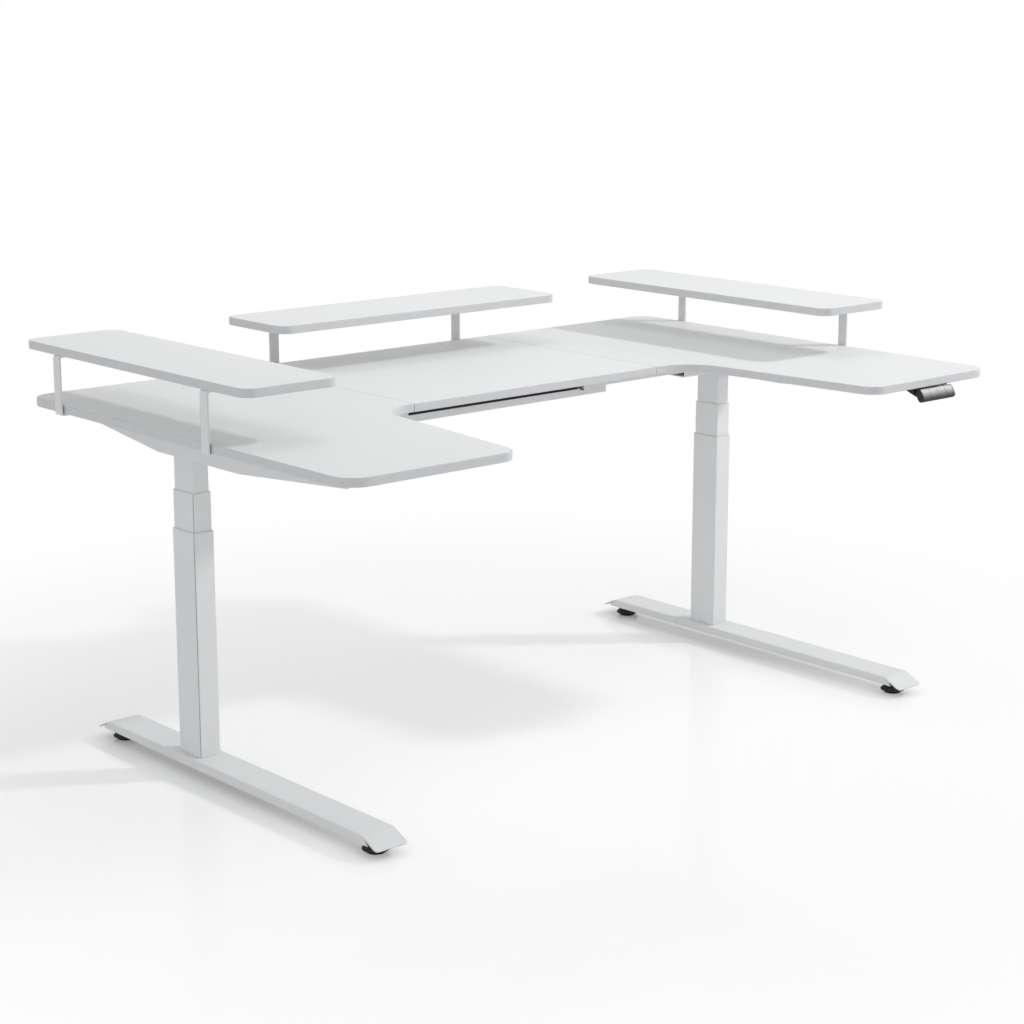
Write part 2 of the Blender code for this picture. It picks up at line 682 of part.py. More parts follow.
def build_lifting_gear(label, base, middle, head):
    """Build the post, the sleeve with its lower nut, the upper nut and the spindle."""
    lathe("lift_post_" + label, pipe(POST_R, POST_BORE_R, BASE_PLATE_TOP + SEAT, POST_TOP),
          ROUND_STEPS, BARE_STEEL, base, hollow=True)

    outline = tube_outline(tube_size(1), TUBE_WALL + SEAT)
    sleeve = prism("lift_sleeve_" + label, outline, "Z", MIDDLE_BOTTOM, SLEEVE_PLATE_TOP,
                   BARE_STEEL, middle)
    wall = lathe("sleeve_wall_" + label,
                 cylinder(SLEEVE_R, MIDDLE_BOTTOM + SLEEVE_PLATE_T / 2, SLEEVE_TOP),
                 ROUND_STEPS, parent=middle)
    combine(sleeve, wall, "UNION")
    bore = lathe("sleeve_bore_" + label,
                 cylinder(SLEEVE_BORE_R, SLEEVE_PLATE_TOP + NUT_LENGTH, SLEEVE_TOP + SEAT),
                 ROUND_STEPS, parent=middle)
    combine(sleeve, bore)
    thread = lathe("lower_nut_bore_" + label,
                   cylinder(POST_R + SEAT, MIDDLE_BOTTOM - SEAT,
                            SLEEVE_PLATE_TOP + NUT_LENGTH + SEAT),
                   ROUND_STEPS, parent=middle)
    combine(sleeve, thread)

    rim = SLEEVE_TOP + SEAT
    nut = [(SLEEVE_BORE_R - SEAT, UPPER_NUT_BOTTOM), (SLEEVE_BORE_R - SEAT, rim),
           (SLEEVE_R, rim), (SLEEVE_R, rim + NUT_FLANGE_T),
           (SPINDLE_R + SEAT, rim + NUT_FLANGE_T), (SPINDLE_R + SEAT, UPPER_NUT_BOTTOM)]
    lathe("spindle_nut_" + label, nut, ROUND_STEPS, BRASS, middle, hollow=True)
    lathe("spindle_" + label,
          cylinder(SPINDLE_R, SPINDLE_BOTTOM, GEARBOX_BOTTOM + SPINDLE_SOCKET - SEAT),
          ROUND_STEPS, BARE_STEEL, head)


def foot_blank(label, front, back, parent):
    """Make the foot's outer form, with its long fold edges rounded."""
    edge_back = FOOT_SHEET_T * math.sin(FOOT_FLAP_ANGLE)
    side_view = [
        (front - FOOT_FLAP_REACH + edge_back, FOOT_LIP),
        (back + FOOT_FLAP_REACH - edge_back, FOOT_LIP),
        (back + FOOT_FLAP_REACH, FOOT_TIP_HIGH),
        (back, FOOT_TOP),
        (front, FOOT_TOP),
        (front - FOOT_FLAP_REACH, FOOT_TIP_HIGH),
    ]
    piece = prism("foot_" + label, side_view, "X", -FOOT_WIDTH / 2, FOOT_WIDTH / 2,
                  WHITE_STEEL, parent)
    bm = bmesh.new()
    bm.from_mesh(piece.data)
    folds = []
    for edge in bm.edges:
        normals = [face.normal for face in edge.link_faces]
        upward = [normal for normal in normals if normal.z > 0.5]
        sideways = [normal for normal in normals if abs(normal.x) > 0.5]
        if upward and sideways:
            folds.append(edge)
    bmesh.ops.bevel(bm, geom=folds, offset=FOOT_BEND_R, segments=2, profile=0.5,
                    affect="EDGES")
    bm.to_mesh(piece.data)
    bm.free()
    return piece


def build_foot(label, parent):
    """Fold the foot: a channel open below, whose sloped flaps close its ends."""
    back = COLUMN_BACK - FOOT_BACK
    front = back - FOOT_FLAT
    half = FOOT_WIDTH / 2
    piece = foot_blank(label, front, back, parent)
    plan = rounded(box_outline((-half, front - FOOT_FLAP_REACH), (half, back + FOOT_FLAP_REACH)),
                   [FOOT_TIP_R] * 4, BEND_STEPS)
    keep = prism("foot_plan_" + label, plan, "Z", 0.0, 2 * FOOT_TOP, parent=parent)
    combine(piece, keep, "INTERSECT")

    slope = 1 / math.tan(FOOT_FLAP_ANGLE)
    across = FOOT_SHEET_T / math.sin(FOOT_FLAP_ANGLE)
    low = FOOT_LIP - FOOT_SHEET_T
    high = FOOT_TOP - FOOT_SHEET_T
    reach_low = slope * (FOOT_TOP - low) - across
    reach_high = slope * (FOOT_TOP - high) - across
    cavity = [(front - reach_low, low), (back + reach_low, low),
              (back + reach_high, high), (front - reach_high, high)]
    hollow = prism("foot_hollow_" + label, cavity, "X", -half + FOOT_SHEET_T,
                   half - FOOT_SHEET_T, parent=parent)
    combine(piece, hollow)

    pads = [(0.0, back - PAD_INSET), (0.0, front + PAD_INSET)]
    bosses = rods("foot_bosses_" + label, pads, BOSS_R, "Z", high - BOSS_H,
                  high + FOOT_SHEET_T / 2, ROUND_STEPS, parent)
    combine(piece, bosses, "UNION")
    drill("foot_threads_" + label, piece, pads, STUD_R + SEAT, "Z",
          high - BOSS_H - SEAT, high)
    seats = [(x, y, high) for x, y in rectangle(*FOOT_BOLT_PITCH)]
    drive("foot_bolts_" + label, piece, seats, FOOT_BOLT, FOOT_SHEET_T / 2,
          FOOT_SHEET_T + SEAT + BASE_PLATE_T)
    return pads


def build_levelling_pad(name, place, parent):
    """Turn a levelling pad with its threaded stud."""
    stud_top = FOOT_TOP - FOOT_SHEET_T - STUD_TOP_GAP
    rim = PAD_H / 5
    profile = [(0.0, 0.0), (PAD_R - rim / 2, 0.0), (PAD_R, rim), (PAD_R, PAD_H - 2 * rim),
               (PAD_R - 2 * rim, PAD_H), (STUD_R, PAD_H), (STUD_R, stud_top), (0.0, stud_top)]
    frame = empty(name + "_axis", (place[0], place[1], 0.0), parent)
    lathe(name, profile, ROUND_STEPS, BLACK_PLASTIC, frame)


def build_side_bracket(label, inward, parent):
    """Fold the long bracket under a wing: a tapered web and a flange on top."""
    outer = -inward * SIDE_BRACKET_OUT
    path = [(outer, UNDERSIDE - SIDE_BRACKET_DEPTH), (outer, FLANGE_TOP),
            (outer + inward * SIDE_BRACKET_FLANGE, FLANGE_TOP)]
    section = bent_strip(path, SIDE_BRACKET_T, SHEET_BEND_R)
    back = COLUMN_BACK - SIDE_BRACKET_BACK
    front = COLUMN_BACK - (TOP_DEPTH - SIDE_BRACKET_FRONT)
    piece = prism("side_bracket_" + label, section, "Y", front, back, WHITE_STEEL, parent)
    deep = UNDERSIDE - SIDE_BRACKET_DEPTH
    shallow = UNDERSIDE - SIDE_BRACKET_END
    side_view = [(front, shallow), (-SIDE_BRACKET_LEVEL[1], deep),
                 (SIDE_BRACKET_LEVEL[0], deep), (back, shallow), (back, UNDERSIDE),
                 (front, UNDERSIDE)]
    keep = prism("side_bracket_taper_" + label, side_view, "X", -SIDE_BRACKET_FLANGE,
                 SIDE_BRACKET_FLANGE, parent=parent)
    combine(piece, keep, "INTERSECT")
    side = -inward
    places = [(x - side * COLUMN_X, y - COLUMN_Y) for x, y in side_screw_places(side)]
    screw_up(piece, places, FLANGE_TOP - SIDE_BRACKET_T, SIDE_BRACKET_T)


def rail_bolt_places(inward):
    """Return where a rail is bolted in its housing and in the crossbar."""
    housing = HOUSING_REACH - RAIL_IN_HOUSING / 2
    crossbar = COLUMN_X - CROSSBAR_LENGTH / 2 + RAIL_IN_CROSSBAR / 2
    height = UNDERSIDE - RAIL_DEPTH / 2
    return [(inward * housing, height), (inward * crossbar, height)]


def drive_rail_bolts(name, piece, places, rear):
    """Unite a channel with the bolts that go through its rear wall into a rail."""
    seats = [(x, rear, z) for x, z in places]
    drive(name, piece, seats, RAIL_BOLT, SHEET_T / 2, 2 * SHEET_T + 2 * SEAT, math.pi / 2)


def channel_section(width, bottom, top, thickness):
    """Return the section of a channel that is open on top."""
    half = width / 2
    path = [(-half, top), (-half, bottom), (half, bottom), (half, top)]
    return bent_strip(path, thickness, SHEET_BEND_R)


def build_drive(label, inward, parent):
    """Build a motor housing with the gearbox and the motor that lie in it."""
    outer = -inward * (SIDE_BRACKET_OUT - SIDE_BRACKET_T - SEAT)
    section = channel_section(HEAD_WIDTH, HOUSING_BOTTOM, HOUSING_TOP, SHEET_T)
    housing = prism("motor_housing_" + label, section, "X", outer, inward * HOUSING_REACH,
                    WHITE_STEEL, parent)
    drill("housing_passage_" + label, housing, [(0.0, 0.0)], SPINDLE_R + 2 * SHEET_T, "Z",
          HOUSING_BOTTOM - SEAT, HOUSING_BOTTOM + SHEET_T + SEAT)
    drive_rail_bolts("housing_bolt_" + label, housing, rail_bolt_places(inward)[:1],
                     HEAD_WIDTH / 2)

    gear_outer = -inward * GEARBOX_OUT
    gear_inner = gear_outer + inward * GEARBOX[0]
    low = (min(gear_outer, gear_inner), -GEARBOX[1] / 2, GEARBOX_BOTTOM)
    high = (max(gear_outer, gear_inner), GEARBOX[1] / 2, GEARBOX_BOTTOM + GEARBOX[2])
    gearbox = box("gearbox_" + label, low, high, BLACK_PLASTIC, parent)
    soften(gearbox, GEARBOX_EDGE)
    socket = lathe("gearbox_socket_" + label,
                   cylinder(SPINDLE_R + SEAT, GEARBOX_BOTTOM - SEAT,
                            GEARBOX_BOTTOM + SPINDLE_SOCKET), ROUND_STEPS, parent=parent)
    combine(gearbox, socket)

    profile = [(0.0, 0.0), (MOTOR_R, 0.0), (MOTOR_R, MOTOR_LENGTH),
               (MOTOR_CAP_R, MOTOR_LENGTH), (MOTOR_CAP_R, MOTOR_LENGTH + MOTOR_CAP_LENGTH),
               (0.0, MOTOR_LENGTH + MOTOR_CAP_LENGTH)]
    motor = lathe("motor_" + label, profile, ROUND_STEPS, BLACK_PLASTIC, parent)
    motor.location = (gear_inner + inward * SEAT, 0.0, GEARBOX_BOTTOM + GEARBOX[2] / 2)
    motor.rotation_euler = (0.0, inward * math.pi / 2, 0.0)


def build_rail(label, inward, parent):
    """Build the rail that joins a motor housing to the crossbar."""
    width = HEAD_WIDTH - 2 * SHEET_T - 2 * SEAT
    top = FLANGE_TOP - SHEET_T - SHEET_BEND_R - SEAT
    section = channel_section(width, UNDERSIDE - RAIL_DEPTH, top, SHEET_T)
    start = HOUSING_REACH - RAIL_IN_HOUSING
    end = COLUMN_X - CROSSBAR_LENGTH / 2 + RAIL_IN_CROSSBAR
    rail = prism("side_rail_" + label, section, "X", inward * start, inward * end,
                 WHITE_STEEL, parent)
    drill("rail_bolt_holes_" + label, rail, rail_bolt_places(inward), RAIL_BOLT[2] + SEAT,
          "Y", width / 2 - 2 * SHEET_T, width)


def build_leg(label, side):
    """Build a leg from the pads up to its head, in frames at the column's foot."""
    inward = -side
    place = (side * COLUMN_X, COLUMN_Y, 0.0)
    base = empty("base_" + label, place)
    middle = empty("middle_stage_" + label, place)
    head = empty("head_" + label, place)
    pads = build_foot(label, base)
    for end, spot in zip(("rear", "front"), pads):
        build_levelling_pad("levelling_pad_" + label + "_" + end, spot, base)
    build_outer_tube(label, base)
    build_sliding_tube("middle_tube_" + label, "middle_collar_" + label, 1, MIDDLE_BOTTOM,
                       MIDDLE_TOP, middle)
    build_sliding_tube("inner_tube_" + label, "inner_collar_" + label, 2, INNER_BOTTOM,
                       INNER_TOP, head)
    build_lifting_gear(label, base, middle, head)
    build_side_bracket(label, inward, head)
    build_drive(label, inward, head)
    build_rail(label, inward, head)


def build_crossbar(parent):
    """Build the lipped crossbar with the long notch in its front wall."""
    half = HEAD_WIDTH / 2
    lip = half - CROSSBAR_LIP
    path = [(-lip, FLANGE_TOP), (-half, FLANGE_TOP), (-half, CROSSBAR_BOTTOM),
            (half, CROSSBAR_BOTTOM), (half, FLANGE_TOP), (lip, FLANGE_TOP)]
    section = [(COLUMN_Y + u, v) for u, v in bent_strip(path, SHEET_T, SHEET_BEND_R)]
    reach = CROSSBAR_LENGTH / 2
    piece = prism("crossbar", section, "X", -reach, reach, WHITE_STEEL, parent)
    front = COLUMN_Y - half
    notch = box("crossbar_notch", (NOTCH_SPAN[0], front - SHEET_T, UNDERSIDE - NOTCH_DROP),
                (NOTCH_SPAN[1], front + CROSSBAR_LIP + SHEET_T, UNDERSIDE), parent=parent)
    combine(piece, notch)
    screw_up(piece, crossbar_screw_places(), FLANGE_TOP - SHEET_T, SHEET_T)
    left = rail_bolt_places(1)[1]
    places = [(left[0] - COLUMN_X, left[1]), (COLUMN_X - left[0], left[1])]
    drive_rail_bolts("crossbar_bolts", piece, places, COLUMN_Y + half)


def build_control_box(parent):
    """Build the control box with the cap that holds its inlet, and the clip beside it."""
    floor = CROSSBAR_BOTTOM + SHEET_T + SEAT
    low_x = NOTCH_SPAN[0] - CONTROL_BOX_PAST[0]
    high_x = NOTCH_SPAN[1] + CONTROL_BOX_PAST[1]
    joint = high_x - CONTROL_CAP_LENGTH
    half = CONTROL_BOX_WIDTH / 2
    top = floor + CONTROL_BOX_H
    case = box("control_box", (low_x, COLUMN_Y - half, floor),
               (joint, COLUMN_Y + half, top), BLACK_PLASTIC, parent)
    soften(case, CONTROL_BOX_EDGE)
    cap = box("control_box_cap", (joint + SEAT, COLUMN_Y - half, floor),
              (high_x, COLUMN_Y + half, top), BLACK_PLASTIC, parent)
    soften(cap, CONTROL_BOX_EDGE)
    middle = floor + CONTROL_BOX_H / 2
    socket = box("mains_inlet",
                 (high_x - INLET[2], COLUMN_Y - INLET[0] / 2, middle - INLET[1] / 2),
                 (high_x + SHEET_T, COLUMN_Y + INLET[0] / 2, middle + INLET[1] / 2),
                 parent=parent)
    combine(cap, socket)

    front = COLUMN_Y - HEAD_WIDTH / 2 - SEAT - CLIP_T
    rear = COLUMN_Y - HEAD_WIDTH / 2 + SHEET_T + SEAT + CLIP_T
    edge = UNDERSIDE - NOTCH_DROP
    high = edge + SEAT + CLIP_T
    path = [(front, edge - CLIP_DROP), (front, high), (rear, high), (rear, edge - CLIP_DROP)]
    section = bent_strip(path, CLIP_T, CLIP_T / 4, 2)
    end = NOTCH_SPAN[1] - SEAT
    prism("box_clip", section, "X", end - CLIP_W, end, BLACK_PLASTIC, parent)


def handset_section():
    """Return the handset's section, seen along X: two half circles and two flats."""
    radius = HANDSET_T / 2
    straight = HANDSET_HEIGHT / 2 - radius
    outline = []
    for end in (1, -1):
        for step in range(2 * BEND_STEPS + 1):
            angle = math.pi * step / (2 * BEND_STEPS)
            outline.append((end * (straight + radius * math.sin(angle)),
                            -end * radius * math.cos(angle)))
    return outline


def handset_centre():
    """Return the middle of the handset."""
    radius = HANDSET_T / 2
    straight = HANDSET_HEIGHT / 2 - radius
    x = TOP_WIDTH / 2 - HANDSET_INSET
    y = FRONT_Y - HANDSET_REACH + radius + straight * math.sin(HANDSET_TILT)
    z = HANDSET_TOP - radius - straight * math.cos(HANDSET_TILT)
    return (x, y, z)


def build_handset(parent):
    """Build the handset with its four buttons, and its mount under the board."""
    centre = handset_centre()
    frame = empty("handset_frame", centre, parent)
    frame.rotation_euler = (math.pi / 2 - HANDSET_TILT, 0.0, 0.0)
    half = HANDSET_LENGTH / 2
    body = prism("handset_body", handset_section(), "X", -half, half, BLACK_PLASTIC,
                 frame, smooth=True)
    face = HANDSET_T / 2
    back = face - BUTTON_DEPTH
    pocket_half = BUTTON_HEIGHT / 2 + BUTTON_GAP / 2
    low_x = -half + HANDSET_CAP
    high_x = half - HANDSET_CAP
    pocket = box("handset_pocket",
                 (low_x, -pocket_half, back - BUTTON_TRAVEL - BUTTON_PLAY),
                 (high_x, pocket_half, HANDSET_T), parent=frame)
    combine(body, pocket)

    pitch = (high_x - low_x - BUTTON_GAP) / BUTTON_COUNT
    for index in range(BUTTON_COUNT):
        start = low_x + BUTTON_GAP + index * pitch
        width = pitch - BUTTON_GAP
        holder = empty("handset_button_%d_axis" % (index + 1), (start + width / 2, 0, face),
                       frame)
        section = [(u, v - face) for u, v in handset_section()]
        button = prism("handset_button_%d" % (index + 1), section, "X", -width / 2,
                       width / 2, GREY_PLASTIC, holder, smooth=True)
        keep = box("button_%d_block" % (index + 1), (-width, -BUTTON_HEIGHT / 2, -BUTTON_DEPTH),
                   (width, BUTTON_HEIGHT / 2, BUTTON_DEPTH), parent=holder)
        combine(button, keep, "INTERSECT")
    build_handset_mount(centre, parent)


def build_handset_mount(centre, parent):
    """Build the plate under the board with the neck that carries the handset."""
    x = centre[0] + MOUNT_PLATE_SHIFT
    front = FRONT_Y + MOUNT_PLATE_T / 2
    bottom = FLANGE_TOP - MOUNT_PLATE_T
    plate = box("handset_mount", (x - MOUNT_PLATE_SIZE[0] / 2, front, bottom),
                (x + MOUNT_PLATE_SIZE[0] / 2, FRONT_Y + MOUNT_PLATE_SIZE[1], FLANGE_TOP),
                BLACK_PLASTIC, parent)
    normal = Vector((-math.cos(HANDSET_TILT), math.sin(HANDSET_TILT)))
    upward = Vector((math.sin(HANDSET_TILT), math.cos(HANDSET_TILT)))
    back = Vector(centre[1:]) - normal * (HANDSET_T / 2 + SEAT)
    straight = HANDSET_HEIGHT / 2 - HANDSET_T / 2
    low = back - upward * straight
    rear = FRONT_Y + MOUNT_NECK[1]
    middle = bottom + MOUNT_PLATE_T / 2
    high = back + upward * (middle - back.y) / upward.y
    neck = [(rear, middle), (rear, bottom - 2 * MOUNT_PLATE_T), tuple(low), tuple(high)]
    block = prism("handset_neck", neck, "X", x - MOUNT_NECK[0] / 2, x + MOUNT_NECK[0] / 2,
                  parent=parent)
    combine(plate, block, "UNION")
    screw_up(plate, mount_screw_places(), bottom, MOUNT_PLATE_T)


def main():
    """Build the whole desk."""
    clear_scene()
    top = empty("desk_top", (0.0, 0.0, 0.0))
    build_top(top)
    build_crossbar(top)
    build_control_box(top)
    build_handset(top)
    build_leg("left", -1)
    build_leg("right", 1)


main()
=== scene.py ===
"""Looks of a U-shaped electric standing desk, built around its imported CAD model.

Everything is in metres in the CAD model's frame. +X runs along the desk's width, -Y
points to the side where the user stands, and the floor lies at Z = 0. Each class below
is one sub-assembly: its fields are its sizes, and its build method makes its pieces and
gives them their finishes. A finish is a small class that makes one material.
"""

import logging
import math
from collections.abc import Callable, Iterable, Sequence
from dataclasses import dataclass, field
from enum import Enum

import bmesh
import bpy
from mathutils import Matrix, Vector


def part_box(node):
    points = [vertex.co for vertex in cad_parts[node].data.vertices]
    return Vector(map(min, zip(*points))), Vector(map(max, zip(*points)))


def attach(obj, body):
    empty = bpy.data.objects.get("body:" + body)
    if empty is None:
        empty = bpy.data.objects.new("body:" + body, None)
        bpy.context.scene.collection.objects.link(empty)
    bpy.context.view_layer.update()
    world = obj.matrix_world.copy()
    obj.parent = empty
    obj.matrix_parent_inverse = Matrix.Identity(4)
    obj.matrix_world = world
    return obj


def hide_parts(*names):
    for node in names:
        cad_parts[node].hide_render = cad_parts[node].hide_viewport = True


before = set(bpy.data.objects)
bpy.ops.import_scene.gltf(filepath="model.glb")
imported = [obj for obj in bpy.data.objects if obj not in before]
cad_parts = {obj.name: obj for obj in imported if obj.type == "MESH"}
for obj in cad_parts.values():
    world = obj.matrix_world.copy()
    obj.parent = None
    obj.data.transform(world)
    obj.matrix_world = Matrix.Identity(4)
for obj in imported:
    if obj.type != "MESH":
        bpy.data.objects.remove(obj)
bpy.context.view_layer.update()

Colour = tuple[float, float, float]
Flat = tuple[float, float]
Outline = list[Flat]
Term = "Value | bpy.types.NodeSocket | float"

# Points closer together than this, in metres, become one.
MERGE = 1e-7
# Shares of a face's normal along an axis, above which the face is square to the axis or
# faces along it.
SQUARE = 0.999
FACING = 0.5

log = logging.getLogger("desk")


class Axis(Enum):
    """The axis across which an outline is drawn."""

    X = "X"
    Y = "Y"
    Z = "Z"

    def point(self, u: float, v: float, along: float) -> Vector:
        """Return the point at (u, v) in the plane across this axis.

        Args:
            u: first coordinate in the plane.
            v: second coordinate in the plane.
            along: place of the plane on the axis.

        Returns:
            The point in space.
        """
        places = {"X": (along, u, v), "Y": (u, along, v), "Z": (u, v, along)}
        return Vector(places[self.value])


class Side(Enum):
    """The desk's two legs, by the sign of their X."""

    LEFT = -1
    RIGHT = 1

    @property
    def label(self) -> str:
        """Return the word that node names use."""
        return self.name.lower()


class Head(Enum):
    """What a driver fits in a fastener's head."""

    CROSS = "cross"
    HEXAGON = "hexagon"


# Outlines


def corner_arc(before: Flat, corner: Flat, after: Flat, radius: float,
               steps: int) -> tuple[list[Vector], Vector, float]:
    """Round one corner of a path.

    Args:
        before: the point ahead of the corner.
        corner: the corner.
        after: the point behind the corner.
        radius: radius of the arc.
        steps: straight steps in the arc.

    Returns:
        The arc's points, its centre and the angle that it turns through.
    """
    place = Vector(corner)
    back = (Vector(before) - place).normalized()
    ahead = (Vector(after) - place).normalized()
    half = back.angle(ahead) / 2
    centre = place + (back + ahead).normalized() * radius / math.sin(half)
    spoke = place + back * radius / math.tan(half) - centre
    across = Vector((-spoke.y, spoke.x))
    turn = math.copysign(math.pi - 2 * half, ahead.x * back.y - ahead.y * back.x)
    angles = [turn * step / steps for step in range(steps + 1)]
    points = [centre + spoke * math.cos(a) + across * math.sin(a) for a in angles]
    return points, centre, turn


def rounded(corners: Sequence[Flat], radii: Sequence[float], steps: int = 8) -> Outline:
    """Round the corners of a closed outline.

    Args:
        corners: the outline's corners.
        radii: one radius for each corner; 0 keeps it sharp.
        steps: straight steps in each arc.

    Returns:
        The rounded outline.
    """
    outline: Outline = []
    for index, corner in enumerate(corners):
        if radii[index] <= 0:
            outline.append(corner)
            continue
        after = corners[(index + 1) % len(corners)]
        arc, _, _ = corner_arc(corners[index - 1], corner, after, radii[index], steps)
        outline += [(point.x, point.y) for point in arc]
    return outline


def rectangle(low: Flat, high: Flat, radius: float = 0.0, steps: int = 8) -> Outline:
    """Draw a rectangle, with rounded corners if a radius is given.

    Args:
        low: the lowest corner.
        high: the highest corner.
        radius: radius of the corners.
        steps: straight steps in each corner.

    Returns:
        The outline, anticlockwise.
    """
    corners = [low, (high[0], low[1]), high, (low[0], high[1])]
    return rounded(corners, [radius] * 4, steps)


def centred(width: float, depth: float, radius: float = 0.0, steps: int = 8) -> Outline:
    """Draw a rectangle round the origin.

    Args:
        width: size along the first coordinate.
        depth: size along the second coordinate.
        radius: radius of the corners.
        steps: straight steps in each corner.

    Returns:
        The outline, anticlockwise.
    """
    return rectangle((-width / 2, -depth / 2), (width / 2, depth / 2), radius, steps)


def folded(path: Sequence[Flat], thickness: float, bends: Sequence[float],
           steps: int = 6) -> Outline:
    """Draw the section of a sheet folded along an open path that turns one way.

    Args:
        path: the sheet's outer face.
        thickness: thickness of the sheet, which lies inside the turns.
        bends: radius inside each bend; the last one serves for all that follow.
        steps: straight steps in each bend.

    Returns:
        The closed section.
    """
    outer = [Vector(path[0])]
    inner: list[Vector] = []
    side = 1.0
    for index, (before, corner, after) in enumerate(zip(path, path[1:], path[2:])):
        bend = bends[min(index, len(bends) - 1)]
        arc, centre, turn = corner_arc(before, corner, after, bend + thickness, steps)
        side = math.copysign(1.0, turn)
        outer += arc
        inner += [centre + (point - centre) * bend / (bend + thickness) for point in arc]
    outer.append(Vector(path[-1]))
    ends = []
    for place, along in ((path[0], Vector(path[1]) - Vector(path[0])),
                         (path[-1], Vector(path[-1]) - Vector(path[-2]))):
        across = Vector((-along.y, along.x)).normalized() * side * thickness
        ends.append(Vector(place) + across)
    section = outer + ([ends[0]] + inner + [ends[1]])[::-1]
    return [(point.x, point.y) for point in section]


def circle(radius: float, steps: int) -> Outline:
    """Draw a circle round the origin.

    Args:
        radius: the circle's radius.
        steps: number of points.

    Returns:
        The outline, anticlockwise.
    """
    turns = [2 * math.pi * step / steps for step in range(steps)]
    return [(radius * math.cos(a), radius * math.sin(a)) for a in turns]


def closed(profile: Outline) -> Outline:
    """Return a (radius, height) profile with both ends drawn in to the axis."""
    return [(0.0, profile[0][1]), *profile, (0.0, profile[-1][1])]


def shifted(outline: Outline, u: float, v: float = 0.0) -> Outline:
    """Move an outline.

    Args:
        outline: the outline.
        u: distance along the first coordinate.
        v: distance along the second coordinate.

    Returns:
        The moved outline.
    """
    return [(first + u, second + v) for first, second in outline]


def raised(spots: Iterable[Flat], height: float) -> list[Vector]:
    """Return (X, Y) spots as points at one height."""
    return [Vector((*spot, height)) for spot in spots]


# Materials


class Value:
    """A number in a material, on which Python's operators add Math nodes."""

    def __init__(self, paint: "Paint", socket: bpy.types.NodeSocket) -> None:
        """Keep the material and the output that gives the number."""
        self.paint = paint
        self.socket = socket

    def _math(self, operation: str, *terms: Term) -> "Value":
        """Add one Math node.

        Args:
            operation: the node's operation.
            *terms: its inputs in order.

        Returns:
            The node's result.
        """
        made = self.paint.node("ShaderNodeMath", {"operation": operation},
                               dict(enumerate(terms)))
        return Value(self.paint, made.outputs[0])

    def __add__(self, other: Term) -> "Value":
        """Return the sum."""
        return self._math("ADD", self, other)

    def __radd__(self, other: Term) -> "Value":
        """Return the sum, with the number written first."""
        return self._math("ADD", other, self)

    def __sub__(self, other: Term) -> "Value":
        """Return the difference."""
        return self._math("SUBTRACT", self, other)

    def __rsub__(self, other: Term) -> "Value":
        """Return the difference from a number written first."""
        return self._math("SUBTRACT", other, self)

    def __mul__(self, other: Term) -> "Value":
        """Return the product."""
        return self._math("MULTIPLY", self, other)

    def __rmul__(self, other: Term) -> "Value":
        """Return the product, with the number written first."""
        return self._math("MULTIPLY", other, self)

    def largest(self, other: Term) -> "Value":
        """Return the larger of the two numbers."""
        return self._math("MAXIMUM", self, other)

    def step(self, low: float, high: float) -> "Value":
        """Turn the number into a mask that rises smoothly.

        Args:
            low: where the mask is 0.
            high: where the mask is 1.

        Returns:
            The mask.
        """
        made = self.paint.node("ShaderNodeMapRange", {"interpolation_type": "SMOOTHSTEP"},
                               {0: self, 1: low, 2: high})
        return Value(self.paint, made.outputs[0])


